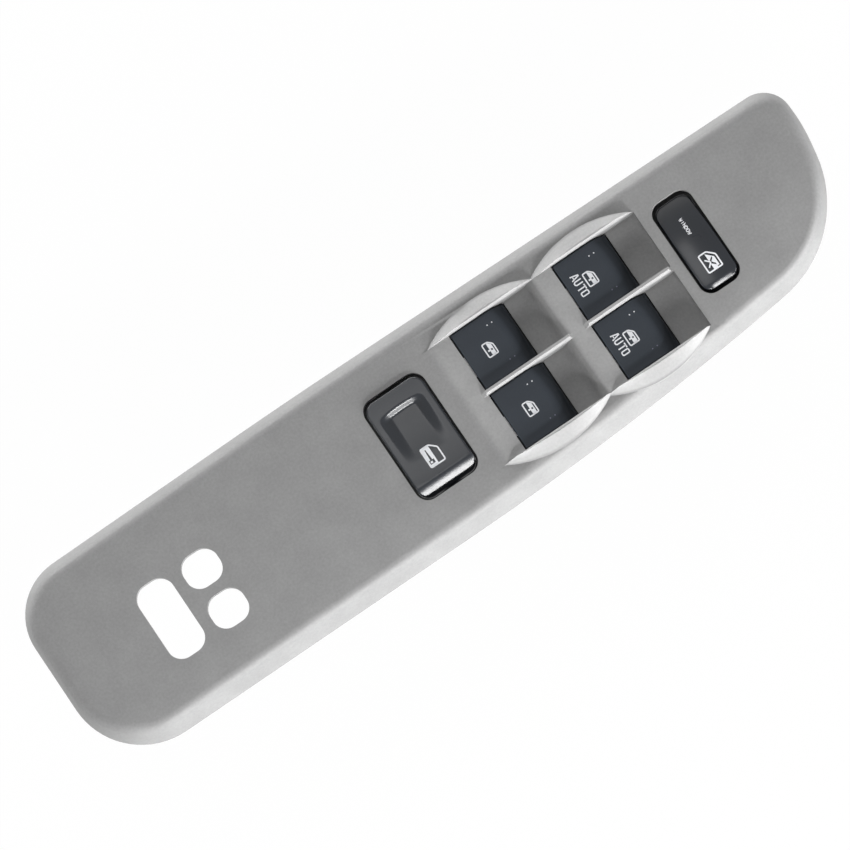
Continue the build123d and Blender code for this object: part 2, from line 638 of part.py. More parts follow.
def make_lockout_rocker():
    """The window lock-out rocker: a crowned cap, latched with its far end down."""
    top_z = TOP_Z + LOCKOUT_RISE
    size = rocker_size(LOCKOUT_OPENING)
    cap = rounded_block(
        LOCKOUT_X, LOCKOUT_Y, size, LOCKOUT_RADIUS - LOCK_GAP, TOP_Z - ROCKER_SKIRT, top_z + 1,
    )
    crown_z = top_z - LOCKOUT_CROWN_RADIUS
    cap &= Pos(LOCKOUT_X, LOCKOUT_Y, crown_z) * Rot(0, 90, 0) * Cylinder(LOCKOUT_CROWN_RADIUS, 2 * size[0])
    hollow, pins, leg = rocker_inside(LOCKOUT_X, LOCKOUT_Y, size, TIP_Z)
    cap -= hollow
    for pin in pins:
        cap += pin
    return turn_lockout(cap + leg)


def turn_lockout(part):
    """Turn a neutral piece of the lock-out rocker to its latched place."""
    hinge = Pos(0, LOCKOUT_Y, ROCKER_HINGE_Z)
    return hinge * Rot(-LOCKOUT_TILT, 0, 0) * hinge.inverse() * part


# Switch parts, drawn with the leg at the origin and the travel along X

def slider_block(board_z):
    """A contact carrier with the slot that a leg's tip pushes in."""
    z0 = board_z + SLIDER_LIFT
    z1 = z0 + SLIDER_HEIGHT
    body = Pos(0, 0, (z0 + z1) / 2) * Box(SLIDER_LENGTH, SLIDER_WIDTH, SLIDER_HEIGHT)
    half = TIP_RADIUS + TIP_CLEARANCE
    half_y = LEG_WIDTH / 2 + TIP_CLEARANCE
    slot_z = board_z + TIP_LIFT - TIP_RADIUS - TIP_CLEARANCE
    return body - block(-half, half, -half_y, half_y, slot_z, z1 + 1)


def bridge_blade(board_z):
    """The moving contact under a slider: a strip with two dimples' worth of bend at its ends."""
    length, width, thick = BRIDGE
    z1 = board_z + SLIDER_LIFT
    z0 = z1 - thick
    line = Polyline(
        (-length / 2, z0),
        (-length / 2 + 1, z0 - thick / 2),
        (-length / 2 + 2, z0),
        (length / 2 - 2, z0),
        (length / 2 - 1, z0 - thick / 2),
        (length / 2, z0),
        (length / 2, z1),
        (-length / 2, z1),
        close=True,
    )
    return profile_along_y(line, -width / 2, width / 2)


def centring_spring(hinge_z):
    """A stamped steel plate on the deck; two tongues lean in and grip the leg at its hinge."""
    length, width = SPRING_PLATE
    top_z = DECK_Z + SPRING_STEEL
    plate = block(-length / 2, length / 2, -width / 2, width / 2, DECK_Z, top_z)
    plate -= block(-SPRING_WINDOW, SPRING_WINDOW, -SLOT_HALF[1], SLOT_HALF[1], DECK_Z - 1, top_z + 1)
    grip = LEG_THICK / 2 + SPRING_GAP
    line = Polyline(
        (SPRING_WINDOW, DECK_Z),
        (grip, hinge_z - SPRING_GRIP),
        (grip, hinge_z + SPRING_GRIP),
        (grip + SPRING_STEEL, hinge_z + SPRING_GRIP),
        (grip + SPRING_STEEL, hinge_z - SPRING_GRIP),
        (SPRING_WINDOW + SPRING_STEEL, DECK_Z),
        close=True,
    )
    tongue = profile_along_y(line, -SPRING_TONGUE / 2, SPRING_TONGUE / 2)
    return plate + tongue + mirror(tongue, Plane.YZ)


def detent_spring():
    """A bent leaf at the end of the lock-out's chamber, its nose in one of the slider's notches."""
    end_x = -SLIDER_LENGTH / 2 - CHAMBER_TRAVEL
    nose_x = -LOCKOUT_SHIFT
    roof_z = DECK_Z - DECK
    leaf_z = BOARD_Z + SLIDER_LIFT + SLIDER_HEIGHT + DETENT_DEPTH + 0.1
    line = Polyline(
        (end_x, roof_z),
        (end_x, leaf_z),
        (nose_x - 1, leaf_z),
        (nose_x, leaf_z - DETENT_DEPTH),
        (nose_x + 1, leaf_z),
        (nose_x + 3, leaf_z),
        (nose_x + 3, leaf_z + SPRING_STEEL),
        (nose_x + 0.8, leaf_z + SPRING_STEEL),
        (nose_x, leaf_z + SPRING_STEEL - DETENT_DEPTH),
        (nose_x - 0.8, leaf_z + SPRING_STEEL),
        (end_x + SPRING_STEEL, leaf_z + SPRING_STEEL),
        (end_x + SPRING_STEEL, roof_z),
        close=True,
    )
    y0 = LEG_WIDTH / 2 + TIP_CLEARANCE
    return profile_along_y(line, y0, y0 + DETENT_WIDTH)


def notched_slider():
    """The lock-out's slider, with a notch for each of its two latched places."""
    slider = slider_block(BOARD_Z)
    top_z = BOARD_Z + SLIDER_LIFT + SLIDER_HEIGHT
    for x in (0, 2 * LOCKOUT_SHIFT):
        line = Polyline((x - 1, top_z + 1), (x, top_z - DETENT_DEPTH), (x + 1, top_z + 1), close=True)
        slider -= profile_along_y(line, -SLIDER_WIDTH, SLIDER_WIDTH)
    return slider


def chamber(board_z):
    """The walls that hang from the deck round a slider, and the space inside them."""
    half_x = SLIDER_LENGTH / 2 + CHAMBER_TRAVEL
    half_y = SLIDER_WIDTH / 2 + SLIDER_GAP
    z0 = board_z + CHAMBER_LIFT
    outer_x = half_x + CHAMBER_WALL
    outer_y = half_y + CHAMBER_WALL
    walls = block(-outer_x, outer_x, -outer_y, outer_y, z0, DECK_Z - DECK / 2)
    return walls, block(-half_x, half_x, -half_y, half_y, z0 - 1, DECK_Z - DECK)


def hinge_post(hinge_z, width):
    """A post on the deck with the bore for a hinge pin that lies along Y."""
    line = Polyline(
        (-POST_RADIUS, DECK_Z - DECK / 2),
        (-POST_RADIUS, hinge_z + POST_RADIUS / 2),
        (-POST_RADIUS / 2, hinge_z + POST_RADIUS),
        (POST_RADIUS / 2, hinge_z + POST_RADIUS),
        (POST_RADIUS, hinge_z + POST_RADIUS / 2),
        (POST_RADIUS, DECK_Z - DECK / 2),
        close=True,
    )
    upright = profile_along_y(line, -width / 2, width / 2)
    return upright - Pos(0, 0, hinge_z) * Rot(90, 0, 0) * bore(PIN_RADIUS + BORE_CLEARANCE, width + 2)


def contact_pads(board_z):
    """Three fixed contacts in a row under a slider."""
    pads = []
    for step in (-1, 0, 1):
        pads.append(Pos(step * PAD_PITCH, 0, board_z + PAD[2] / 2) * Box(*PAD))
    return pads


def switch_places():
    """Where each slider of the window switch stands, and how its travel is turned."""
    places = {name: (hinge_x(x), y, 0.0) for name, (x, y) in KEYS.items()}
    places["lockout"] = (LOCKOUT_X, LOCKOUT_Y, 90.0)
    return places


def place(name):
    """The placement of one switch cell of the window switch."""
    x, y, turn = switch_places()[name]
    return Pos(x, y, 0) * Rot(0, 0, turn)


LOCK_PLACE = Pos(LOCK_X, LOCK_Y, 0) * Rot(0, 0, 90)


def post_offset(cap_width, width):
    """How far a hinge post stands from the middle of its cap."""
    return cap_width / 2 - CAP_WALL - POST_GAP - width / 2


# Switch box

def ear(x, y, box_x):
    """A screw ear that runs out from a box wall at box_x."""
    side = 1 if x > box_x else -1
    tip_x = x + side * EAR_HALF
    bevel = EAR_HALF / 2
    line = Polyline(
        (box_x, y - EAR_HALF),
        (tip_x - side * bevel, y - EAR_HALF),
        (tip_x, y - EAR_HALF + bevel),
        (tip_x, y + EAR_HALF - bevel),
        (tip_x - side * bevel, y + EAR_HALF),
        (box_x, y + EAR_HALF),
        close=True,
    )
    return Pos(0, 0, EAR_Z) * extrude(make_face(line), amount=EAR, dir=(0, 0, 1))


def box_form(inset, z0, z1):
    """The plan of the switch box, its near front corner cut back, drawn in by an inset."""
    x0 = BOX_TAIL_X + inset
    x1 = BOX_NOSE_X - inset
    y0 = CELLS_Y - BOX_HALF + inset
    y1 = CELLS_Y + BOX_HALF - inset
    line = Polyline(
        (x0, y0), (x1 - BOX_CORNER[0], y0), (x1, y0 + BOX_CORNER[1]), (x1, y1), (x0, y1), close=True,
    )
    return Pos(0, 0, z0) * extrude(make_face(line), amount=z1 - z0, dir=(0, 0, 1))


def make_window_housing():
    """The moulded box: walls, deck, hinge posts, slider chambers, screw ears, connector window."""
    box = box_form(0, COVER, DECK_Z) - box_form(BOX_WALL, COVER - 1, DECK_Z - DECK)
    hollows = []
    for name in switch_places():
        walls, hollow = chamber(BOARD_Z)
        box += place(name) * walls
        hollows.append(place(name) * hollow)
        slot = block(-SLOT_HALF[0], SLOT_HALF[0], -SLOT_HALF[1], SLOT_HALF[1], RIM_Z - 4, DECK_Z + 1)
        hollows.append(place(name) * slot)
        if name == "lockout":
            hinge_z, width = ROCKER_HINGE_Z, ROCKER_POST_WIDTH
            offset = post_offset(LOCKOUT_OPENING[0] - 2 * LOCK_GAP, width)
        else:
            hinge_z, width = KEY_HINGE_Z, POST_WIDTH
            offset = post_offset(KEY_WIDTH, width)
        for side in (-1, 1):
            box += place(name) * Pos(0, side * offset, 0) * hinge_post(hinge_z, width)
    for hollow in hollows:
        box -= hollow
    for x, y in BOX_SCREWS:
        wall_x = BOX_TAIL_X if x < BOX_TAIL_X else BOX_NOSE_X
        box += ear(x, y, wall_x)
    for x, y in BOX_SCREWS:
        box -= drilled(x, y, EAR_HOLE_RADIUS, EAR_Z - 1, EAR_Z + EAR + 1)
    half = CONNECTOR_WIDTH / 2 + CONNECTOR_GAP
    top_z = BOARD_Z + CONNECTOR_HEIGHT + CONNECTOR_GAP
    box -= block(
        BOX_NOSE_X - BOX_WALL - 1, BOX_NOSE_X + 1, CONNECTOR_Y - half, CONNECTOR_Y + half,
        COVER - 1, top_z,
    )
    return box


def connector_sill():
    """The upstand of the cover that closes the connector window below the board."""
    half = CONNECTOR_WIDTH / 2
    return block(
        BOX_NOSE_X - BOX_WALL, BOX_NOSE_X, CONNECTOR_Y - half, CONNECTOR_Y + half,
        COVER / 2, BOARD_Z - BOARD,
    )


def board_posts():
    """Where the cover's posts carry the board."""
    tail_in, nose_in, side_in = BOARD_POST_IN
    x0 = BOX_TAIL_X + BOX_WALL + tail_in
    x1 = BOX_NOSE_X - BOX_WALL - nose_in
    y0 = CELLS_Y - BOX_HALF + BOX_WALL + side_in
    y1 = CELLS_Y + BOX_HALF - BOX_WALL - side_in
    return [(x, y) for x in (x0, x1) for y in (y0, y1)]


def make_housing_cover():
    """The bottom cover: a plate with a locating rim, board posts and snap tabs."""
    inset = BOX_WALL + BOARD_GAP
    cover = box_form(0, 0, COVER)
    cover += box_form(inset, COVER / 2, 2 * COVER) - box_form(2 * inset, COVER / 2 - 1, 2 * COVER + 1)
    half = BOARD_POST / 2
    for x, y in board_posts():
        cover += block(x - half, x + half, y - half, y + half, COVER / 2, BOARD_Z - BOARD)
    tab_length, tab_thick, tab_height = SNAP_TAB
    for x in (BOX_TAIL_X + SNAP_TAB_IN[0], BOX_NOSE_X - SNAP_TAB_IN[1]):
        x0, x1 = x - tab_length / 2, x + tab_length / 2
        for side in (-1, 1):
            wall_y = CELLS_Y + side * BOX_HALF
            inside_y, outside_y = wall_y - side * COVER, wall_y + side * tab_thick
            cover += block(x0, x1, min(inside_y, outside_y), max(inside_y, outside_y), 0, COVER)
            cover += block(x0, x1, min(wall_y, outside_y), max(wall_y, outside_y), 0, COVER + tab_height)
    return cover + connector_sill()


def make_circuit_board():
    """The printed board, notched at its tail corners, with a tongue under the connector."""
    inset = BOX_WALL + BOARD_GAP
    board = box_form(inset, BOARD_Z - BOARD, BOARD_Z)
    half = CONNECTOR_WIDTH / 2
    board += block(
        BOX_NOSE_X - inset - 1, CONNECTOR_FRONT_X - CONNECTOR_FLOOR, CONNECTOR_Y - half, CONNECTOR_Y + half,
        BOARD_Z - BOARD, BOARD_Z,
    )
    notch = 2 * (BOX_WALL + BOARD_GAP)
    for side in (-1, 1):
        corner_y = CELLS_Y + side * (BOX_HALF - inset)
        board -= Pos(BOX_TAIL_X + inset, corner_y, BOARD_Z) * Box(notch, notch, 4 * BOARD)
    return board


def make_connector_shell():
    """The plug-in header: a shroud open to the nose, with a keying rib."""
    z0 = BOARD_Z
    z1 = BOARD_Z + CONNECTOR_HEIGHT
    y0 = CONNECTOR_Y - CONNECTOR_WIDTH / 2
    y1 = CONNECTOR_Y + CONNECTOR_WIDTH / 2
    shell = block(CONNECTOR_BACK_X, CONNECTOR_FRONT_X, y0, y1, z0, z1)
    shell = chamfer(shell.edges().filter_by(Axis.X), CONNECTOR_WALL / 2)
    wall = CONNECTOR_WALL
    shell -= block(
        CONNECTOR_BACK_X + CONNECTOR_FLOOR, CONNECTOR_FRONT_X + 1,
        y0 + wall, y1 - wall, z0 + wall, z1 - wall,
    )
    shell += block(
        CONNECTOR_BACK_X + CONNECTOR_FLOOR, CONNECTOR_FRONT_X - 2,
        CONNECTOR_Y - 1, CONNECTOR_Y + 1, z1 - wall - 1.2, z1 - wall / 2,
    )
    for x, z, y in pin_places():
        half = PIN_SIZE / 2
        shell -= block(CONNECTOR_BACK_X - 1, CONNECTOR_BACK_X + CONNECTOR_FLOOR + 1,
                       y - half, y + half, z - half, z + half)
    return shell


def pin_places():
    """Rear face, height and side place of each connector pin."""
    places = []
    for row, height in enumerate(PIN_ROW_Z):
        for step in range(PIN_COUNT):
            y = CONNECTOR_Y + (step - (PIN_COUNT - 1) / 2) * PIN_PITCH
            places.append((CONNECTOR_BACK_X - 1.0 - 1.6 * row, BOARD_Z + height, y))
    return places


def make_connector_pins():
    """Square pins that run out of the board and turn into the connector."""
    half = PIN_SIZE / 2
    end_x = CONNECTOR_BACK_X + CONNECTOR_FLOOR + PIN_REACH
    pins = []
    for x, z, y in pin_places():
        line = Polyline(
            (x - half, BOARD_Z),
            (x + half, BOARD_Z),
            (x + half, z - half),
            (end_x, z - half),
            (end_x, z + half),
            (x - half, z + half),
            close=True,
        )
        pins.append(profile_along_y(line, y - half, y + half))
    return Compound(children=pins)


def make_control_chip():
    """The controller with its row of feet along both sides."""
    x = (hinge_x(REAR_KEY_X) + hinge_x(FRONT_KEY_X)) / 2
    length, width, height = CHIP
    body = Pos(x, CELLS_Y, BOARD_Z + CHIP_LIFT + height / 2) * Box(length, width, height)
    body = chamfer(body.faces().sort_by(Axis.Z)[-1].edges(), CHIP_LIFT)
    reach = width / 2 + FOOT_REACH
    for step in range(CHIP_FEET):
        foot_x = x + (step - (CHIP_FEET - 1) / 2) * FOOT_PITCH
        foot_z = BOARD_Z + FOOT[1]
        body += block(foot_x - FOOT[0] / 2, foot_x + FOOT[0] / 2, CELLS_Y - reach, CELLS_Y + reach, BOARD_Z, foot_z)
    return body


def make_chip_resistors():
    """Small surface parts in two rows beside the controller."""
    x = (hinge_x(REAR_KEY_X) + hinge_x(FRONT_KEY_X)) / 2
    parts = []
    for side in (-1, 1):
        for step in range(RESISTOR_COUNT):
            part_x = x + (step - (RESISTOR_COUNT - 1) / 2) * RESISTOR_PITCH
            spot = Pos(part_x, CELLS_Y + side * RESISTOR_ROW, BOARD_Z + RESISTOR[2] / 2)
            parts.append(spot * Box(*RESISTOR))
    return Compound(children=parts)


def make_night_lamps():
    """Small lamps on the board, one beside each slider chamber."""
    beside = SLIDER_WIDTH / 2 + SLIDER_GAP + CHAMBER_WALL + LAMP_GAP + LAMP[1] / 2
    lamps = [place(name) * Pos(0, beside, BOARD_Z + LAMP[2] / 2) * Box(*LAMP) for name in switch_places()]
    return Compound(children=lamps)


def make_board_contacts():
    """All fixed contacts on the board."""
    pads = []
    for name in switch_places():
        for pad in contact_pads(BOARD_Z):
            pads.append(place(name) * pad)
    return Compound(children=pads)


# Door lock switch

def make_lock_housing():
    """The lock switch's own box with hinge posts and a screw ear at each end."""
    half_x = LOCK_BOX[0] / 2
    half_y = LOCK_BOX[1] / 2
    x0, x1 = LOCK_X - half_x, LOCK_X + half_x
    y0, y1 = LOCK_Y - half_y, LOCK_Y + half_y
    box = block(x0, x1, y0, y1, LOCK_BASE_Z, DECK_Z)
    box -= block(x0 + BOX_WALL, x1 - BOX_WALL, y0 + BOX_WALL, y1 - BOX_WALL,
                 LOCK_BASE_Z - 1, DECK_Z - DECK)
    walls, hollow = chamber(LOCK_BASE_Z)
    box += LOCK_PLACE * walls
    box -= LOCK_PLACE * hollow
    slot = block(-SLOT_HALF[0], SLOT_HALF[0], -SLOT_HALF[1], SLOT_HALF[1], LOCK_BASE_Z + 8, DECK_Z + 1)
    box -= LOCK_PLACE * slot
    offset = post_offset(LOCK_OPENING[0] - 2 * LOCK_GAP, POST_WIDTH)
    for side in (-1, 1):
        box += LOCK_PLACE * Pos(0, side * offset, 0) * hinge_post(ROCKER_HINGE_Z, POST_WIDTH)
        turned = Pos(LOCK_X, LOCK_Y, 0) * Rot(0, 0, side * 90)
        box += turned * ear(LOCK_EAR_Y, 0, half_y)
        box -= turned * drilled(LOCK_EAR_Y, 0, EAR_HOLE_RADIUS, EAR_Z - 1, EAR_Z + EAR + 1)
    return box


def terminal_places():
    """Where the lock switch's terminals pass through its base."""
    pitch_x, pitch_y = TERMINAL_PITCH
    return [(LOCK_X + side * pitch_x / 2, LOCK_Y + step * pitch_y) for side in (-1, 1) for step in (-1, 0, 1)]


def make_lock_base():
    """The base plate that closes the lock switch, with slots for its terminals."""
    half_x = LOCK_BOX[0] / 2
    half_y = LOCK_BOX[1] / 2
    base = block(LOCK_X - half_x, LOCK_X + half_x, LOCK_Y - half_y, LOCK_Y + half_y,
                 LOCK_BASE_Z - LOCK_BASE, LOCK_BASE_Z)
    base = chamfer(base.faces().sort_by(Axis.Z)[0].edges(), 0.5)
    thick, width, height = TERMINAL
    for x, y in terminal_places():
        base -= Pos(x, y, LOCK_BASE_Z) * Box(thick, width, 10)
    return base


def make_lock_terminals():
    """Flat blades that stand through the base."""
    thick, width, height = TERMINAL
    z0 = LOCK_BASE_Z - height
    blades = []
    for x, y in terminal_places():
        blade = block(x - thick / 2, x + thick / 2, y - width / 2, y + width / 2, z0, LOCK_BASE_Z + PAD[2])
        blades.append(blade)
    return Compound(children=blades)


# Fasteners

def screw(x, y):
    """A hexagon-headed screw driven up through an ear into its boss, its thread left off."""
    head = extrude(RegularPolygon(SCREW_HEAD_RADIUS, 6), amount=SCREW_HEAD)
    return Pos(x, y, EAR_Z - SCREW_HEAD) * head + post(x, y, SCREW_SHANK_RADIUS, EAR_Z, EAR_Z + SCREW_LENGTH)


def make_clip(x, y, turn):
    """A sheet steel clip: folded over its blade, with two arms that spring outwards."""
    inner = CLIP_BLADE[1] / 2 + 0.05
    outer = inner + CLIP_STEEL
    blade_end = TOP_Z - SKIN / 2 - CLIP_BLADE[2]
    bottom = blade_end - 0.05
    top = bottom + CLIP_HEIGHT
    middle = bottom + CLIP_HEIGHT * 0.45
    half = Polyline(
        (0, bottom - CLIP_STEEL),
        (outer, bottom - CLIP_STEEL),
        (outer + CLIP_SPREAD, middle),
        (outer + CLIP_STEEL, top),
        (inner + CLIP_STEEL, top),
        (outer + CLIP_SPREAD - CLIP_STEEL, middle),
        (inner, bottom),
        (0, bottom),
        close=True,
    )
    arm = profile_along_y(half, -CLIP_WIDTH / 2, CLIP_WIDTH / 2)
    clip = arm + mirror(arm, Plane.YZ)
    return Pos(x, y, 0) * Rot(0, 0, turn + 90) * clip


def save(name, part):
    """Write one sub-part to its own file."""
    part.label = name
    export_step(part, "parts/" + name + ".step")


def main():
    save("bezel", make_bezel())
    save("window_housing", make_window_housing())
    save("housing_cover", make_housing_cover())
    save("circuit_board", make_circuit_board())
    save("connector_shell", make_connector_shell())
    save("connector_pins", make_connector_pins())
    save("control_chip", make_control_chip())
    save("chip_resistors", make_chip_resistors())
    save("night_lamps", make_night_lamps())
    save("board_contacts", make_board_contacts())
    for name, (key_x, y) in KEYS.items():
        save(name + "_key", make_key(key_x, y))
        save(name + "_slider", place(name) * slider_block(BOARD_Z))
        save(name + "_bridge", place(name) * bridge_blade(BOARD_Z))
        save(name + "_spring", place(name) * centring_spring(KEY_HINGE_Z))
    latched = place("lockout") * Pos(-LOCKOUT_SHIFT, 0, 0)
    save("lockout_rocker", make_lockout_rocker())
    save("lockout_slider", latched * notched_slider())
    save("lockout_bridge", latched * bridge_blade(BOARD_Z))
    save("lockout_spring", place("lockout") * detent_spring())
    save("lock_rocker", make_lock_rocker())
    save("lock_housing", make_lock_housing())
    save("lock_base", make_lock_base())
    save("lock_terminals", make_lock_terminals())
    save("lock_slider", LOCK_PLACE * slider_block(LOCK_BASE_Z))
    save("lock_bridge", LOCK_PLACE * bridge_blade(LOCK_BASE_Z))
    save("lock_spring", LOCK_PLACE * centring_spring(ROCKER_HINGE_Z))
    save("housing_screws", Compound(children=[screw(x, y) for x, y in BOX_SCREWS]))
    lock_ears = [(LOCK_X, LOCK_Y + side * LOCK_EAR_Y) for side in (-1, 1)]
    save("lock_screws", Compound(children=[screw(x, y) for x, y in lock_ears]))
    save("bezel_clips", Compound(children=[make_clip(*spot) for spot in CLIP_PLACES]))


main()
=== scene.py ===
"""Looks of a driver's door window switch panel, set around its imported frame."""
import math

import bmesh
import bpy
import numpy as np
from mathutils import Matrix, Vector


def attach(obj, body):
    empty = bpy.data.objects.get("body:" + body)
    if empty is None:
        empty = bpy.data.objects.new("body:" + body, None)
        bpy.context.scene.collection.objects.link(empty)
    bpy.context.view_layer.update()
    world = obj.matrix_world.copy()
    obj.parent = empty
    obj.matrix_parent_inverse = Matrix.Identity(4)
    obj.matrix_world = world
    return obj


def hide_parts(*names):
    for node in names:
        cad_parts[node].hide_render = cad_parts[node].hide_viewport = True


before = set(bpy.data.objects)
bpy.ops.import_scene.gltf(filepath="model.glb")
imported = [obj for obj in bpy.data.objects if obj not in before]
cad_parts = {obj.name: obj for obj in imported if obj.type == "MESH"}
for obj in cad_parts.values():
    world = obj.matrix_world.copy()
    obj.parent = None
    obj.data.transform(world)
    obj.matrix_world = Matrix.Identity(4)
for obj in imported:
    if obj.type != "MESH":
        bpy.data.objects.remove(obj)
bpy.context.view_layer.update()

bl_info = {
    "name": "Window switch panel",
    "version": (1, 0, 0),
    "blender": (4, 5, 0),
    "location": "View3D > Sidebar > Window switch",
    "description": "Finishes, prints and studio for a driver's door window switch panel",
    "category": "Object",
}

MM = 0.001
TOP = 34.0                  # height of the panel's flat top; all sizes here are in millimetres
KEYS = {
    "rear_left": (17.45, 10.6),
    "rear_right": (17.45, -12.8),
    "front_left": (57.25, 10.6),
    "front_right": (57.25, -12.8),
}
KEY_LENGTH, KEY_WIDTH = 19.85, 21.2
KEY_TOP = TOP + 0.8
KEY_CORNER = 0.5
KEY_SKIRT = 27.8
KEY_ROOF = 1.6              # how thick a key is over its hollow
KEY_HINGE = (4.8, 30.2)     # from the key's rear face, and height
KEY_BOW = 60.0              # radius of the key's front edge, seen from above
KEY_ROLL = 5.4              # how far behind that edge the key begins to roll down
KEY_ROLL_DROP = 3.6
KEY_MARK = (6.7, 2.2)       # from the key's rear face to its mark, and across
FRONT_KEY_MARK = (6.6, 2.9)
# Where the pips stand; their spots are painted light: one row of white painted highlights, one row
# of pale painted reflections.
PIPS_ALONG = (11.9, 13.7)
PIP_HIGHLIGHTS_ACROSS = 6.75
PIP_REFLECTIONS_ACROSS = -6.65
LOCK = (-8.6, -0.4, 21.6, 36.3)         # middle in X and Y, width and length
LOCK_CORNER = 3.8
LOCK_TIP_Z = 17.1
LOCK_RISE = 0.3             # of the bowl's middle over the panel's flat top
LOCK_BOWL = 0.00394         # how the bowl rises with the square of the distance from its middle
LOCK_RIDGE = 13.4           # from the middle of the cap to where its near end begins to slope
LOCK_SLOPE, LOCK_BLEND = 0.8, 0.8       # the slope there, and the distance over which it sets in
FIELD_DEPTH = 1.5           # of the sunken field at its far end
FIELD_START, FIELD_RUN = -6.0, 17.25    # where the field begins to sink, and over what length
FIELD_HALF, FIELD_SIDE = 8.6, 4.2       # half of its width, and the width of its sides
FIELD_FAR, FIELD_STEP = 13.1, 2.6       # where its far step ends, and how long the step is
FIELD_BOW = 0.012
LOCK_MARK = (-11.32, -4.1)
LOCKOUT = (100.2, 1.8, 13.2, 32.8)
LOCKOUT_CORNER = 3.6
LOCKOUT_RISE = 1.0
LOCKOUT_CROWN = (140.0, 90.0)           # twice the crown's radius along the rocker, and across
LOCKOUT_RIDGE = 14.3
LOCKOUT_SLOPE, LOCKOUT_BLEND = 0.66, 0.3
LOCKOUT_CORNER_SHARE = 0.45             # how much of that slope is left at the near corners
LOCKOUT_SLOPE_HALF, LOCKOUT_SLOPE_FADE = 5.0, 1.6
LOCKOUT_TILT = math.radians(-4.0)
LOCKOUT_MARK = (97.95, -3.5)
WORD_AT = (99.62, 10.4)
WORD_HEIGHT, WORD_PITCH = 1.05, 1.07
ROCKER_EDGE = 0.6
ROCKER_SKIRT = 27.6
ROCKER_ROOF = 32.0
SEAT = -0.35                # the caps of both rockers sit this far towards the near side
HINGE_Z = 29.0
TIP_Z = 12.7
WALL = 1.4
PIN_RADIUS = 1.25
PIN_REACH = (2.2, 0.2)      # how far a pin goes into its cap and out past the hollow's wall
LEG_HALF = 1.0              # half of a leg's thickness
LEG_TIP_RADIUS = 1.2
LEG_WIDTH = 3.6
PRINT_RISE = 0.03           # of a print over the plastic
STROKE_STEP = 0.4           # longest step along a printed line
LEAN, ROLL = math.radians(10.0), math.radians(34.2)
LOOK_AT = (-5.32, 1.87, TOP)
VIEW_SPAN = 850 / 3.1       # what the square picture spans: 850 pixels at 3.1 to the millimetre
FLOOR_GLOW = 0.975          # how much of the floor's look is plain white, the rest being its shadow
PANEL = (0.0, 0.0, 0.03)    # what the lamps are aimed at, in metres
LAMPS = (                   # name, place, aim, and width by height, in metres
    ("near", (0.0, -1.0, 0.17), PANEL, (1.6, 0.3)),
    ("strip", (0.04, -1.0, 0.475), (0.04, 0.0, 0.03), (0.4, 0.13)),
    ("corner", (0.7, -0.8, 0.17), PANEL, (0.6, 0.3)),
    ("far", (0.0, 1.0, 0.17), PANEL, (1.6, 0.3)),
    ("far_high", (0.0, 0.8, 0.6), PANEL, (1.4, 0.4)),
    ("tail", (-1.1, 0.0, 0.2), PANEL, (0.3, 0.8)),
    ("top", (-0.07, 0.15, 1.15), (-0.07, 0.0, 0.03), (0.22, 0.56)),
)
SHOWING = ("Is Camera Ray", "Is Glossy Ray", "Is Transmission Ray")     # they show a background


# Properties

class TrimSizes(bpy.types.PropertyGroup):
    colour: bpy.props.FloatVectorProperty(
        name="Trim grey", description="Colour of the long trim plate",
        default=(0.27, 0.27, 0.27), size=3, min=0, max=1, subtype="COLOR")
    grain: bpy.props.FloatProperty(
        name="Grain", description="Width of one grain of the moulded texture",
        default=0.0009, min=0.0001, max=0.003, unit="LENGTH")
    roughness: bpy.props.FloatProperty(
        name="Roughness", description="How dull the trim plate is",
        default=0.56, min=0, max=1, subtype="FACTOR")
    # Painted sheen: the raised surfaces round the keys are painted paler, standing in for the light
    # they catch.
    lift: bpy.props.FloatProperty(
        name="Lift", description="Painted sheen: how much paler the raised surfaces round the keys are",
        default=1.36, min=1, max=2)


class KeySizes(bpy.types.PropertyGroup):
    colour: bpy.props.FloatVectorProperty(
        name="Key black", description="Colour of the window keys",
        default=(0.026, 0.030, 0.036), size=3, min=0, max=1, subtype="COLOR")
    edge: bpy.props.FloatProperty(
        name="Edge", description="Radius of the rounded edges of the window keys",
        default=0.00045, min=0.0001, max=0.0012, unit="LENGTH")
    roughness: bpy.props.FloatProperty(
        name="Roughness", description="How dull the window keys are",
        default=0.42, min=0, max=1, subtype="FACTOR")
    # Painted light: the flat tops are painted paler than the rolled fronts, which stand in shade.
    lift: bpy.props.FloatProperty(
        name="Lift",
        description="How much paler the flat tops of the keys are than their rolled fronts",
        default=1.8, min=1, max=3)
    print_colour: bpy.props.FloatVectorProperty(
        name="Print", description="Colour of the printed pictograms",
        default=(0.86, 0.87, 0.9), size=3, min=0, max=1, subtype="COLOR")


class RockerSizes(bpy.types.PropertyGroup):
    colour: bpy.props.FloatVectorProperty(
        name="Rocker black", description="Colour of the two rockers",
        default=(0.010, 0.0125, 0.017), size=3, min=0, max=1, subtype="COLOR")
    roughness: bpy.props.FloatProperty(
        name="Roughness", description="How dull the rockers are",
        default=0.3, min=0, max=1, subtype="FACTOR")
    coat: bpy.props.FloatProperty(
        name="Coat", description="Weight of the glossy coat",
        default=0.55, min=0, max=1, subtype="FACTOR")


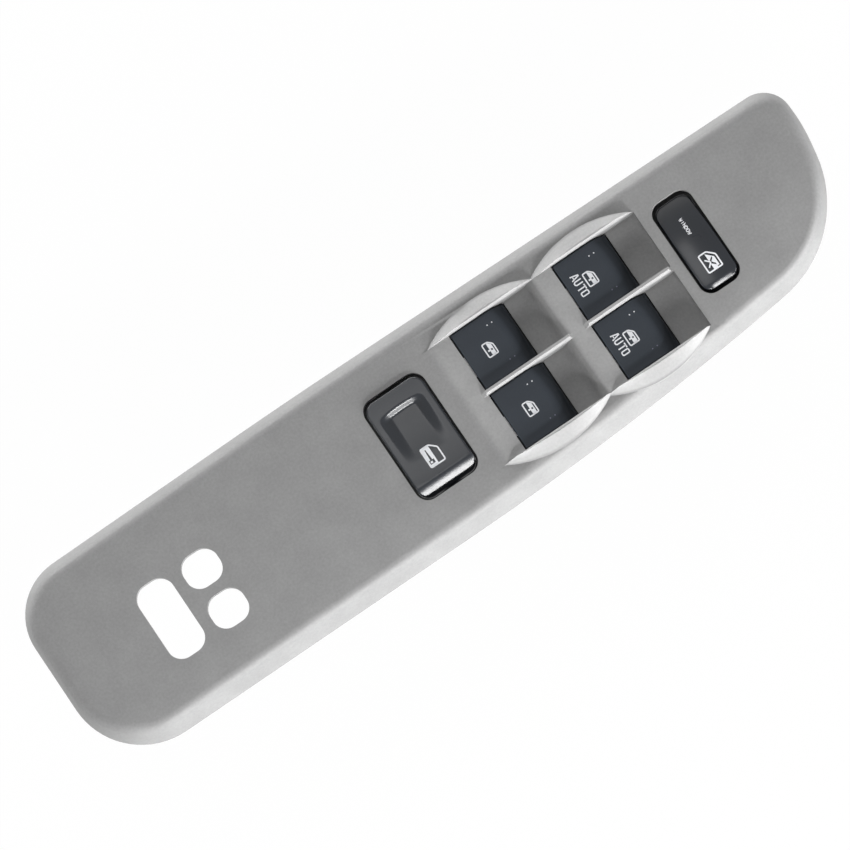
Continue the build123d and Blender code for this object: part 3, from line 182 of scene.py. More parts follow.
class StudioSizes(bpy.types.PropertyGroup):
    near: bpy.props.FloatProperty(
        name="Near light", description="Power of the low lamp along the near side",
        default=12.6, min=0, unit="POWER")
    strip: bpy.props.FloatProperty(
        name="Strip light",
        description="Power of the narrow lamp above it, which the rockers mirror",
        default=7.6, min=0, unit="POWER")
    corner: bpy.props.FloatProperty(
        name="Corner light", description="Power of the low lamp off the near front corner",
        default=8.2, min=0, unit="POWER")
    far: bpy.props.FloatProperty(
        name="Far light", description="Power of the low lamp along the far side",
        default=13.0, min=0, unit="POWER")
    far_high: bpy.props.FloatProperty(
        name="Far high light", description="Power of the higher lamp along the far side",
        default=3.9, min=0, unit="POWER")
    tail: bpy.props.FloatProperty(
        name="Tail light", description="Power of the low lamp beyond the tail",
        default=2.3, min=0, unit="POWER")
    top: bpy.props.FloatProperty(
        name="Top light",
        description="Power of the lamp overhead, which the flats of the door lock rocker mirror",
        default=1.2, min=0, unit="POWER")
    sky: bpy.props.FloatProperty(
        name="Sky", description="Strength of the plain light from all around", default=0.0, min=0)
    distance: bpy.props.FloatProperty(
        name="Camera distance", description="From the lens to the panel",
        default=2.6, min=0.5, unit="LENGTH")


# Mesh work

def make_piece(name, points, faces, body, material, smooth=True):
    """Puts points in millimetres and faces into a new object that rides on a body."""
    mesh = bpy.data.meshes.new(name)
    cells = [list(map(int, face)) for face in faces]
    mesh.from_pydata((np.asarray(points, float) * MM).tolist(), [], cells)
    mesh.validate()
    mesh.update()
    mesh.polygons.foreach_set("use_smooth", np.full(len(mesh.polygons), smooth))
    mesh.materials.append(material)
    piece = bpy.data.objects.new(name, mesh)
    bpy.context.scene.collection.objects.link(piece)
    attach(piece, body)
    return piece


def sheet_faces(rows, columns, start=0, wrap=True):
    """Quads of a grid of rows by columns of points, its columns closed to a ring if wrap."""
    across = np.arange(columns if wrap else columns - 1)
    i, j = np.meshgrid(np.arange(rows - 1), across, indexing="ij")
    k = (j + 1) % columns
    a = start + i * columns + j
    b = start + i * columns + k
    c = start + (i + 1) * columns + k
    d = start + (i + 1) * columns + j
    return np.stack([a, b, c, d], -1).reshape(-1, 4)


def rounded_path(width, height, radius, corner, side):
    """Points round a rectangle with rounded corners, anticlockwise from the right-hand side,
    with the unit normals: four quarter circles joined by straight runs."""
    xs, ys, nx, ny = [], [], [], []
    hx, hy = width / 2 - radius, height / 2 - radius
    centres = ((hx, hy), (-hx, hy), (-hx, -hy), (hx, -hy))
    for quarter in range(4):
        cx, cy = centres[quarter]
        ex, ey = centres[(quarter + 1) % 4]
        angle = np.linspace(quarter * math.pi / 2, (quarter + 1) * math.pi / 2, corner)
        run = np.linspace(0, 1, side + 2)[1:-1]
        cos, sin = np.cos(angle), np.sin(angle)
        xs += [cx + radius * cos, cx + radius * cos[-1] + (ex - cx) * run]
        ys += [cy + radius * sin, cy + radius * sin[-1] + (ey - cy) * run]
        nx += [cos, np.full(side, cos[-1])]
        ny += [sin, np.full(side, sin[-1])]
    return np.concatenate(xs), np.concatenate(ys), np.concatenate(nx), np.concatenate(ny)


def joined(shells):
    """Puts several closed shells into one list of points and one of faces."""
    points, faces, start = [], [], 0
    for some, cells in shells:
        points.append(np.asarray(some, float))
        faces += [[start + k for k in cell] for cell in cells]
        start += len(some)
    return np.concatenate(points), faces


def cap_shell(size, radius, edge, skirt_z, roof, top, rings, side):
    """A closed hollow cap. Rings grow from the middle of the hollow's roof to its wall, drop to the
    skirt, climb the outside, go over an edge that is a quarter circle laid on the top's own slope,
    and shrink to the middle of the top, whose height is top(x, y)."""
    outer = rounded_path(*size, radius, 9, side)
    inner = rounded_path(size[0] - 2 * WALL, size[1] - 2 * WALL, max(radius - WALL, 0.3), 9, side)
    count = len(outer[0])

    def ring(x, y, z):
        return np.stack([x, y, np.broadcast_to(z, x.shape)], -1)

    rows = [
        ring(inner[0] * k, inner[1] * k, roof(inner[0] * k, inner[1] * k))
        for k in np.linspace(0, 1, 8)[1:]]
    rows.append(ring(inner[0], inner[1], skirt_z))
    px, py, nx, ny = outer
    rows.append(ring(px, py, skirt_z))
    rows.append(ring(px, py, top(px, py) - 1.6 * edge))
    for angle in np.linspace(0, math.pi / 2, 9):
        inset = edge * (1 - math.cos(angle))
        drop = edge * (1 - math.sin(angle))
        x, y = px - nx * inset, py - ny * inset
        rows.append(ring(x, y, top(x, y) - drop))
    for share in np.linspace(1, 0, rings)[1:-1]:
        rows.append(ring(x * share, y * share, top(x * share, y * share)))
    points = np.concatenate(rows)
    faces = sheet_faces(len(rows), count).tolist()
    low, high = len(points), len(points) + 1
    zero = np.zeros(1)
    ends = [[0, 0, float(roof(zero, zero)[0])], [0, 0, float(top(zero, zero)[0])]]
    last = (len(rows) - 1) * count
    faces += [[(j + 1) % count, j, low] for j in range(count)]
    faces += [[last + j, last + (j + 1) % count, high] for j in range(count)]
    return np.concatenate([points, ends]), faces


def bar(outline, low_x, high_x):
    """A closed straight bar along X: an anticlockwise outline in Y and Z, drawn from low_x to
    high_x."""
    outline = np.asarray(outline, float)
    count = len(outline)
    rows = [np.column_stack([np.full(count, x), outline]) for x in (low_x, high_x)]
    faces = sheet_faces(2, count).tolist()
    faces += [list(range(count))[::-1], list(range(count, 2 * count))]
    return np.concatenate(rows), faces


def hanging(span, pin_z, roof_z, tip_z):
    """What hangs in a cap that turns about X: hinge pins that start at span to either side, and a
    flat leg with a round tip."""
    turn = np.linspace(0, 2 * math.pi, 33)[:-1]
    circle = np.stack([PIN_RADIUS * np.cos(turn), pin_z + PIN_RADIUS * np.sin(turn)], -1)
    lean = math.acos(LEG_HALF / LEG_TIP_RADIUS)
    sweep = np.linspace(math.pi - lean, 2 * math.pi + lean, 24)
    tip = np.stack([LEG_TIP_RADIUS * np.cos(sweep), tip_z + LEG_TIP_RADIUS * np.sin(sweep)], -1)
    leg = np.concatenate([[[LEG_HALF, roof_z + 0.2], [-LEG_HALF, roof_z + 0.2]], tip])
    inwards, outwards = PIN_REACH
    return [
        bar(circle, span - inwards, span + outwards),
        bar(circle, -span - outwards, inwards - span),
        bar(leg, -LEG_WIDTH / 2, LEG_WIDTH / 2)]


def softened(line, radius, steps=4):
    """A closed line with each corner replaced by a short curve that starts radius before it."""
    p = np.asarray(line, float)
    out = []
    for before, here, after in zip(np.roll(p, 1, 0), p, np.roll(p, -1, 0)):
        a = here + (before - here) * radius / np.linalg.norm(before - here)
        b = here + (after - here) * radius / np.linalg.norm(after - here)
        for t in np.linspace(0, 1, steps):
            out.append((1 - t) ** 2 * a + 2 * t * (1 - t) * here + t ** 2 * b)
    return np.array(out)


def ribbon(line, width, closed):
    """Rows across a stroke of even width along a line: each row runs from the left edge to the
    right edge, set off along the mitred normals, and long steps are divided."""
    p = np.asarray(line, float)
    if closed:
        before, after = np.roll(p, 1, 0), np.roll(p, -1, 0)
    else:
        before = np.concatenate([[2 * p[0] - p[1]], p[:-1]])
        after = np.concatenate([p[1:], [2 * p[-1] - p[-2]]])
    d0, d1 = p - before, after - p
    d0 /= np.linalg.norm(d0, axis=1)[:, None]
    d1 /= np.linalg.norm(d1, axis=1)[:, None]
    n0 = np.stack([-d0[:, 1], d0[:, 0]], -1)
    mid = n0 + np.stack([-d1[:, 1], d1[:, 0]], -1)
    mid /= np.linalg.norm(mid, axis=1)[:, None]
    reach = mid * (width / 2 / np.maximum((mid * n0).sum(1), 0.4))[:, None]
    sides = np.stack([p + reach, p, p - reach], 1)
    if closed:
        sides = np.concatenate([sides, sides[:1]])
    rows = []
    for first, second in zip(sides[:-1], sides[1:]):
        steps = max(1, int(np.linalg.norm(second[1] - first[1]) / STROKE_STEP))
        rows += [first + (second - first) * k / steps for k in range(steps)]
    return np.array(rows if closed else rows + [sides[-1]])


def patch(corners):
    """Rows of points on the bilinear sheet between four anticlockwise corners."""
    c = np.asarray(corners, float)
    edges = np.linalg.norm(np.roll(c, -1, 0) - c, axis=1)
    across = max(1, int(max(edges[0], edges[2]) / STROKE_STEP))
    along = max(1, int(max(edges[1], edges[3]) / STROKE_STEP))
    s = np.linspace(0, 1, across + 1)[None, :, None]
    t = np.linspace(0, 1, along + 1)[:, None, None]
    return (1 - t) * ((1 - s) * c[0] + s * c[1]) + t * ((1 - s) * c[3] + s * c[2])


def film(rows, lay, closed=False, thick=0.05):
    """A closed thin print: rows of points in the print's own two coordinates are laid on the cap by
    lay(a, b), and the underside lies thick below."""
    top = lay(rows[..., 0], rows[..., 1])
    low = top - np.array([0, 0, thick])
    rings = np.concatenate([top, low[:, ::-1]], 1)
    count = rings.shape[1]
    if closed:
        rings = np.concatenate([rings, rings[:1]])
    faces = sheet_faces(len(rings), count)
    if closed:
        faces = faces % (len(rings) * count - count)
        rings = rings[:-1]
    faces = faces.tolist()
    if not closed:
        last = (len(rings) - 1) * count
        for m in range(count // 2 - 1):
            end = [m, m + 1, count - 2 - m, count - 1 - m]
            faces += [end[::-1], [last + k for k in end]]
    return rings.reshape(-1, 3), faces


def sharpen(piece):
    """Keeps the hard edges of a smooth piece hard."""
    piece.data.set_sharp_from_angle(angle=math.radians(40))


def print_shells(strokes, fills, lay):
    """All the films of one mark: strokes are (line, width, closed), fills are sets of four
    corners."""
    shells = [film(ribbon(line, width, closed), lay, closed) for line, width, closed in strokes]
    return joined(shells + [film(patch(corners), lay) for corners in fills])


# Finishes

def shader(name):
    """A new material with its Principled shader and a helper that adds linked nodes."""
    material = bpy.data.materials.new(name)
    material.use_nodes = True
    tree = material.node_tree
    base = tree.nodes["Principled BSDF"]

    def node(kind, **values):
        made = tree.nodes.new(kind)
        for key, value in values.items():
            if key in made.inputs:
                made.inputs[key].default_value = value
            else:
                setattr(made, key, value)
        return made

    return material, tree, base, node


def painted_light_above(node, link, where, colour, height, fade, gain):
    """Painted light: the colour times the gain on surfaces above a height, with a soft step below
    it.
    """
    parts = node("ShaderNodeSeparateXYZ")
    link(where, parts.inputs[0])
    step = node("ShaderNodeMapRange", interpolation_type="SMOOTHSTEP")
    step.inputs["From Min"].default_value = height - fade
    step.inputs["From Max"].default_value = height
    step.inputs["To Min"].default_value = 1.0
    step.inputs["To Max"].default_value = gain
    link(parts.outputs["Z"], step.inputs["Value"])
    scaled = node("ShaderNodeVectorMath", operation="SCALE")
    link(colour, scaled.inputs[0])
    link(step.outputs["Result"], scaled.inputs["Scale"])
    return scaled.outputs[0]


def grained(name, colour, roughness, grain, depth, mottle=0.06, coat=0.0, specular=0.5, lift=None):
    """Moulded plastic: two sizes of noise raise the grain, and a slow noise varies its colour and
    gloss. The last argument is a height, the depth of the step below it, and how much paler the
    plastic is painted above it, as painted light."""
    material, tree, base, node = shader(name)
    link = tree.links.new
    where = node("ShaderNodeTexCoord").outputs["Object"]
    slow = node("ShaderNodeTexNoise", Scale=90.0, Detail=3.0)
    fine = node("ShaderNodeTexNoise", Scale=1.0 / grain, Detail=2.0, Roughness=0.6)
    coarse = node("ShaderNodeTexNoise", Scale=0.45 / grain, Detail=1.0)
    for texture in (slow, fine, coarse):
        link(where, texture.inputs["Vector"])
    grain_mix = node("ShaderNodeMath", operation="MULTIPLY_ADD")
    link(coarse.outputs["Fac"], grain_mix.inputs[0])
    grain_mix.inputs[1].default_value = 0.6
    link(fine.outputs["Fac"], grain_mix.inputs[2])
    bump = node("ShaderNodeBump", Strength=0.35, Distance=depth)
    link(grain_mix.outputs[0], bump.inputs["Height"])
    link(bump.outputs["Normal"], base.inputs["Normal"])
    ramp = node("ShaderNodeValToRGB")
    low, high = ramp.color_ramp.elements
    low.position, high.position = 0.3, 0.7
    low.color = tuple(c * (1 - mottle) for c in colour) + (1,)
    high.color = tuple(min(1, c * (1 + mottle)) for c in colour) + (1,)
    blend = node("ShaderNodeMath", operation="MULTIPLY_ADD")
    link(fine.outputs["Fac"], blend.inputs[0])
    blend.inputs[1].default_value = 0.5
    half = node("ShaderNodeMath", operation="MULTIPLY")
    link(slow.outputs["Fac"], half.inputs[0])
    half.inputs[1].default_value = 0.5
    link(half.outputs[0], blend.inputs[2])
    link(blend.outputs[0], ramp.inputs["Fac"])
    shade = ramp.outputs["Color"]
    # Painted light: surfaces above the given height are painted paler.
    if lift:
        shade = painted_light_above(node, link, where, shade, *lift)
    link(shade, base.inputs["Base Color"])
    gloss = node("ShaderNodeMapRange")
    gloss.inputs["From Min"].default_value = 0.3
    gloss.inputs["From Max"].default_value = 0.7
    gloss.inputs["To Min"].default_value = max(0.02, roughness - 0.04)
    gloss.inputs["To Max"].default_value = min(1.0, roughness + 0.04)
    link(slow.outputs["Fac"], gloss.inputs["Value"])
    link(gloss.outputs["Result"], base.inputs["Roughness"])
    base.inputs["Specular IOR Level"].default_value = specular
    base.inputs["Coat Weight"].default_value = coat
    base.inputs["Coat Roughness"].default_value = 0.2
    return material


def metal(name, colour, roughness, streak):
    """Sheet or turned metal: noise drawn out along X gives fine streaks of gloss."""
    material, tree, base, node = shader(name)
    link = tree.links.new
    where = node("ShaderNodeTexCoord").outputs["Object"]
    draw = node("ShaderNodeMapping")
    draw.inputs["Scale"].default_value = (60.0, 900.0, 900.0)
    link(where, draw.inputs["Vector"])
    noise = node("ShaderNodeTexNoise", Scale=1.0, Detail=3.0)
    link(draw.outputs["Vector"], noise.inputs["Vector"])
    ramp = node("ShaderNodeValToRGB")
    ramp.color_ramp.elements[0].color = tuple(c * 0.85 for c in colour) + (1,)
    ramp.color_ramp.elements[1].color = tuple(min(1, c * 1.1) for c in colour) + (1,)
    link(noise.outputs["Fac"], ramp.inputs["Fac"])
    link(ramp.outputs["Color"], base.inputs["Base Color"])
    gloss = node("ShaderNodeMapRange")
    gloss.inputs["To Min"].default_value = max(0.02, roughness - streak)
    gloss.inputs["To Max"].default_value = roughness + streak
    link(noise.outputs["Fac"], gloss.inputs["Value"])
    link(gloss.outputs["Result"], base.inputs["Roughness"])
    base.inputs["Metallic"].default_value = 1.0
    return material


def resist_green():
    """Board laminate: dark green resist with lighter lines of copper beneath it."""
    material, tree, base, node = shader("board_resist")
    link = tree.links.new
    where = node("ShaderNodeTexCoord").outputs["Object"]
    bricks = node("ShaderNodeTexBrick", Scale=120.0)
    bricks.inputs["Color1"].default_value = (0.02, 0.10, 0.045, 1)
    bricks.inputs["Color2"].default_value = (0.025, 0.12, 0.05, 1)
    bricks.inputs["Mortar"].default_value = (0.07, 0.22, 0.09, 1)
    bricks.inputs["Mortar Size"].default_value = 0.03
    link(where, bricks.inputs["Vector"])
    link(bricks.outputs["Color"], base.inputs["Base Color"])
    base.inputs["Roughness"].default_value = 0.3
    return material


def dress(node_names, material):
    """Gives a CAD node's surface a finish."""
    for name in node_names:
        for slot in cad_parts[name].material_slots:
            slot.material = material


class OBJECT_OT_trim_finish(bpy.types.Operator):
    """Makes the trim plate with its upper edges softened and its fine moulded grain"""
    bl_idname = "switch_panel.trim_finish"
    bl_label = "Finish the trim plate"

    def execute(self, context):
        look = context.scene.trim_sizes
        # Everything above the flat top is painted paler: a painted sheen standing in for the light
        # that the raised surfaces round the keys catch.
        trim = grained(
            "grained_grey", tuple(look.colour), look.roughness, look.grain,
            depth=0.00008, mottle=0.12, lift=((TOP + 0.6) * MM, 0.5 * MM, look.lift))
        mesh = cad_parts["bezel"].data.copy()
        mesh.name = "trim_plate"
        work = bmesh.new()
        work.from_mesh(mesh)
        bmesh.ops.remove_doubles(work, verts=work.verts, dist=2e-6)
        bmesh.ops.dissolve_limit(
            work, angle_limit=math.radians(0.1), verts=work.verts, edges=work.edges)
        for face in work.faces:
            face.smooth = True
            face.material_index = 0
        for edge in work.edges:
            edge.smooth = edge.calc_face_angle(math.pi) < math.radians(30)
        work.to_mesh(mesh)
        work.free()
        mesh.materials.clear()
        mesh.materials.append(trim)
        plate = bpy.data.objects.new("trim_plate", mesh)
        context.scene.collection.objects.link(plate)
        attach(plate, "panel")
        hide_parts("bezel")
        return {"FINISHED"}


class OBJECT_OT_inner_finish(bpy.types.Operator):
    """Gives the boxes, board, contacts and fasteners beneath the plate their finishes"""
    bl_idname = "switch_panel.inner_finish"
    bl_label = "Finish the inner pieces"

    def execute(self, context):
        black = grained("moulded_black", (0.028, 0.028, 0.03), 0.5, 0.0006, 0.00005)
        nylon = grained("natural_nylon", (0.62, 0.60, 0.53), 0.4, 0.0008, 0.00002, 0.03)
        acetal = grained("natural_acetal", (0.7, 0.7, 0.66), 0.35, 0.0008, 0.00002, 0.02)
        chip = grained("chip_epoxy", (0.02, 0.02, 0.02), 0.45, 0.0003, 0.00002)
        lamp = grained("lamp_lens", (0.8, 0.8, 0.7), 0.15, 0.001, 0.00001, 0.02)
        brass = metal("plated_brass", (0.78, 0.62, 0.33), 0.25, 0.08)
        steel = metal("spring_steel", (0.42, 0.42, 0.43), 0.32, 0.1)
        zinc = metal("zinc_plate", (0.62, 0.63, 0.65), 0.3, 0.1)
        dress(["window_housing", "housing_cover", "lock_housing", "lock_base"], black)
        dress(["connector_shell"], nylon)
        dress(["control_chip", "chip_resistors"], chip)
        dress(["night_lamps"], lamp)
        dress(["circuit_board"], resist_green())
        dress(["board_contacts", "connector_pins", "lock_terminals"], brass)
        dress(["housing_screws", "lock_screws"], zinc)
        dress(["bezel_clips"], steel)
        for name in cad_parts:
            if name.endswith("_slider"):
                dress([name], acetal)
            if name.endswith("_bridge"):
                dress([name], brass)
            if name.endswith("_spring"):
                dress([name], steel)
        return {"FINISHED"}


# Window keys

def key_height(x, y):
    """Flat, then rolled down beyond a crest that bows forward: a circular arc of the distance past
    a circle struck from behind the key, down to the bowed front edge."""
    past = np.clip(np.hypot(x - (KEY_LENGTH / 2 - KEY_BOW), y) - (KEY_BOW - KEY_ROLL), 0, KEY_ROLL)
    rho = (KEY_ROLL ** 2 + KEY_ROLL_DROP ** 2) / (2 * KEY_ROLL_DROP)
    return KEY_TOP - (rho - np.sqrt(rho ** 2 - past ** 2))


def window_print():
    """The window pictogram: a frame with one corner cut, a pane let half down, and an arrow that is
    white below the pane's edge and bare above it."""
    frame_line = softened([(0.0, 0.0), (4.8, 0.0), (4.8, 3.45), (1.4, 3.45), (0.0, 2.0)], 0.45)
    fills = [
        [(0.1, 1.4), (2.5, 1.4), (2.5, 2.85), (1.4, 2.85)],
        [(0.1, 1.4), (1.4, 2.85), (1.25, 2.85), (0.1, 1.65)],
        [(2.5, 1.4), (3.1, 1.4), (3.1, 1.9), (2.5, 1.9)],
        [(2.5, 2.45), (3.1, 2.45), (3.1, 2.85), (2.5, 2.85)],
        [(3.1, 1.4), (4.7, 1.4), (4.7, 2.85), (3.1, 2.85)],
        [(2.5, 0.75), (3.1, 0.75), (3.1, 1.4), (2.5, 1.4)],
    ]
    return [(frame_line, 0.45, True)], fills


def auto_print():
    """The one-touch mark below the window: four narrow letters in a row."""
    width = 0.45
    return [
        ([(-1.45, -3.9), (-0.82, -1.22), (-0.52, -1.22), (0.12, -3.9)], width, False),
        ([(-1.2, -3.07), (-0.12, -3.07)], width * 0.8, False),
        ([(0.73, -1.0), (0.73, -3.3), (1.08, -3.75), (1.63, -3.75), (1.98, -3.3), (1.98, -1.0)],
         width, False),
        ([(2.72, -1.22), (4.53, -1.22)], width, False),
        ([(3.63, -1.22), (3.63, -3.97)], width, False),
        (softened([(4.9, -3.75), (6.2, -3.75), (6.2, -1.22), (4.9, -1.22)], 0.45), width, True),
    ]


class OBJECT_OT_window_keys(bpy.types.Operator):
    """Makes the four window keys with their rolled fronts and their prints"""
    bl_idname = "switch_panel.window_keys"
    bl_label = "Make the window keys"

    def execute(self, context):
        look = context.scene.key_sizes
        # The flat tops are painted paler than the rolled fronts: painted light, not a paler
        # plastic.
        plastic = grained(
            "key_black", tuple(look.colour), look.roughness,
            grain=0.0005, depth=0.00001, mottle=0.05, specular=0.12,
            lift=(KEY_TOP * MM, 1.0 * MM, look.lift))
        ink = grained("print_white", tuple(look.print_colour), 0.5, 0.0004, 0.000005, 0.02)
        # A faint bluish paint for the second row of pips: a painted reflection.
        pale = grained("print_pale", (0.12, 0.12, 0.17), 0.5, 0.0004, 0.000005, 0.02)
        cap = cap_shell(
            (KEY_LENGTH, KEY_WIDTH), KEY_CORNER, look.edge / MM, KEY_SKIRT,
            lambda x, y: key_height(x, y) - KEY_ROOF, key_height, rings=27, side=30)
        parts = hanging(KEY_WIDTH / 2 - WALL, KEY_HINGE[1], KEY_TOP - KEY_ROOF, TIP_Z)
        hinge_x = KEY_HINGE[0] - KEY_LENGTH / 2
        turned = [(p[:, [1, 0, 2]] * (-1, 1, 1) + (hinge_x, 0, 0), cells) for p, cells in parts]
        points, faces = joined([cap] + turned)
        for name, (rear_x, y) in KEYS.items():
            centre = np.array([rear_x + KEY_LENGTH / 2, y, 0])
            body = name + "_key_body"
            key = make_piece(name + "_cap", points + centre, faces, body, plastic)
            sharpen(key)
            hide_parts(name + "_key")
            self.add_print(name, rear_x, y, ink, pale)
        return {"FINISHED"}

    def add_print(self, name, rear_x, y, ink, pale):
        """The marks of one key, laid on its top a hair above the plastic."""
        def lay_at(x0, y0):
            def lay(a, b):
                x, across = x0 + b, y0 - a
                z = key_height(x - rear_x - KEY_LENGTH / 2, across - y) + PRINT_RISE
                return np.stack([x, across, z], -1)
            return lay

        strokes, fills = window_print()
        along, across = KEY_MARK
        if name.startswith("front"):
            strokes = strokes + auto_print()
            along, across = FRONT_KEY_MARK
        body = name + "_key_body"
        points, faces = print_shells(strokes, fills, lay_at(rear_x + along, y + across))
        make_piece(name + "_mark", points, faces, body, ink, smooth=False)
        # Flat spots on the pips, as painted light: white painted highlights on one row, pale
        # painted reflections on the other.
        spot = np.array([(-0.2, -0.2), (0.2, -0.2), (0.2, 0.2), (-0.2, 0.2)])
        rows = (("pips", PIP_HIGHLIGHTS_ACROSS, ink), ("pale_pips", PIP_REFLECTIONS_ACROSS, pale))
        for label, across, material in rows:
            spots = [spot + (-across, along) for along in PIPS_ALONG]
            points, faces = print_shells([], spots, lay_at(rear_x, y))
            make_piece(name + "_" + label, points, faces, body, material, smooth=False)


# Rockers

def ease(t):
    """Rises smoothly from 0 to 1 as t does."""
    t = np.clip(t, 0, 1)
    return t * t * (3 - 2 * t)


def eased_slope(past, blend):
    """The drop of a slope that starts level and steepens towards one to one: it falls short of that
    by an exponential of the distance over the blend."""
    past = np.maximum(past, 0)
    return past - blend * (1 - np.exp(-past / blend))


def lock_height(x, y):
    """A shallow bowl along the rocker, a parabola, with a field that sinks towards its far end and
    comes up there in a bowed step, and a slope beyond a ridge at its near end."""
    z = TOP + LOCK_RISE + LOCK_BOWL * np.maximum(y, -LOCK_RIDGE) ** 2
    across = ease((FIELD_HALF - np.abs(x)) / FIELD_SIDE)
    far = ease((FIELD_FAR - FIELD_BOW * x ** 2 - y) / FIELD_STEP)
    sunk = np.clip((y - FIELD_START) / FIELD_RUN, 0, 1)
    z = z - across * far * FIELD_DEPTH * sunk ** 1.2
    return z - LOCK_SLOPE * eased_slope(-LOCK_RIDGE - y, LOCK_BLEND)


def lockout_height(x, y):
    """Crowned along its length and across it by two parabolas, and sloping at its near end, less so
    at the corners."""
    inside = ease((LOCKOUT_SLOPE_HALF - np.abs(x)) / LOCKOUT_SLOPE_FADE)
    share = LOCKOUT_CORNER_SHARE + (1 - LOCKOUT_CORNER_SHARE) * inside
    slope = LOCKOUT_SLOPE * share * eased_slope(-LOCKOUT_RIDGE - y, LOCKOUT_BLEND)
    along, across = LOCKOUT_CROWN
    return TOP + LOCKOUT_RISE - y ** 2 / along - x ** 2 / across - slope


def door_print():
    """The lock pictogram: a door with an open window above a filled half that leaves a key bare."""
    frame_line = softened([(0.0, 0.0), (7.0, 0.0), (7.0, 5.4), (2.1, 5.4), (0.0, 3.1)], 0.5)
    fills = [
        [(0.1, 0.1), (6.9, 0.1), (6.9, 0.45), (0.1, 0.45)],
        [(0.1, 0.45), (0.9, 0.45), (0.9, 2.95), (0.1, 2.95)],
        [(0.9, 0.45), (4.7, 0.45), (4.7, 1.0), (0.9, 1.2)],
        [(0.9, 1.5), (4.7, 1.75), (4.7, 2.95), (0.9, 2.95)],
        [(4.7, 2.25), (6.1, 2.25), (6.1, 2.95), (4.7, 2.95)],
        [(6.1, 0.45), (6.9, 0.45), (6.9, 2.95), (6.1, 2.95)],
        [(5.1, 0.75), (5.8, 0.75), (5.8, 1.5), (5.1, 1.5)],
    ]
    return [(frame_line, 0.5, True)], fills


def barred_print():
    """The lock-out pictogram: a window frame and pane crossed out by two bars that are white below
    the pane's edge and bare above it."""
    frame_line = softened([(0.0, 0.0), (6.4, 0.0), (6.4, 5.2), (2.2, 5.2), (0.0, 2.9)], 0.45)
    strokes = [
        (frame_line, 0.5, True),
        ([(3.65, 2.4), (2.15, 1.0)], 0.45, False),
        ([(3.65, 2.4), (5.0, 1.0)], 0.45, False),
    ]
    fills = [
        [(0.45, 2.1), (3.35, 2.1), (2.15, 3.65), (1.95, 3.65)],
        [(3.6, 2.75), (3.7, 2.75), (4.75, 3.65), (2.75, 3.65)],
        [(3.95, 2.1), (6.2, 2.1), (6.2, 3.65), (5.4, 3.65)],
        [(1.95, 3.65), (5.8, 3.65), (5.8, 4.4), (2.65, 4.4)],
    ]
    return strokes, fills


NARROW = {
    "W": [[(0.0, 1.0), (0.2, 0.0), (0.4, 0.7), (0.6, 0.0), (0.8, 1.0)]],
    "I": [[(0.4, 0.0), (0.4, 1.0)]],
    "N": [[(0.05, 0.0), (0.05, 1.0), (0.75, 0.0), (0.75, 1.0)]],
    "D": [[(0.05, 0.0), (0.5, 0.0), (0.75, 0.3), (0.75, 0.7), (0.5, 1.0), (0.05, 1.0)]],
    "O": [[(0.2, 0.0), (0.6, 0.0), (0.78, 0.25), (0.78, 0.75),
           (0.6, 1.0), (0.2, 1.0), (0.02, 0.75), (0.02, 0.25)]],
}


def word_print(word, height, pitch):
    """Strokes of a small word in narrow capitals."""
    strokes = []
    for step, letter in enumerate(word):
        for line in NARROW[letter]:
            place = np.array(line) * (pitch * 0.95, height) + (step * pitch, 0.0)
            strokes.append((place, 0.27, letter in "DO"))
    return strokes


def rocker_shell(size, radius, top, tip_z, side):
    """A rocker about its own middle: its hollow cap with what hangs in it."""
    def roof(x, y):
        return np.full(np.shape(x), ROCKER_ROOF)

    points, faces = cap_shell(
        size, radius, ROCKER_EDGE, ROCKER_SKIRT, roof, top, rings=90, side=side)
    parts = hanging(size[0] / 2 - WALL, HINGE_Z, ROCKER_ROOF, tip_z)
    return joined([(points + (0, SEAT, 0), faces)] + parts)


class OBJECT_OT_lock_rocker(bpy.types.Operator):
    """Makes the door lock rocker with its sunken field and sloping near end"""
    bl_idname = "switch_panel.lock_rocker"
    bl_label = "Make the door lock rocker"

    def execute(self, context):
        look = context.scene.rocker_sizes
        gloss = grained(
            "rocker_black", tuple(look.colour), look.roughness,
            grain=0.0006, depth=0.0000005, mottle=0.04, coat=look.coat, specular=0.15)
        ink = bpy.data.materials["print_white"]
        x0, y0, width, length = LOCK
        points, faces = rocker_shell((width, length), LOCK_CORNER, lock_height, LOCK_TIP_Z, side=34)
        cap = make_piece(
            "lock_rocker_cap", points + (x0, y0, 0), faces,
            "lock_rocker_body", gloss)
        sharpen(cap)
        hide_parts("lock_rocker")

        def lay(a, b):
            x, y = b + LOCK_MARK[0], LOCK_MARK[1] - a
            return np.stack([x, y, lock_height(x - x0, y - y0 - SEAT) + PRINT_RISE], -1)

        points, faces = print_shells(*door_print(), lay)
        make_piece("lock_mark", points, faces, "lock_rocker_body", ink, smooth=False)
        return {"FINISHED"}


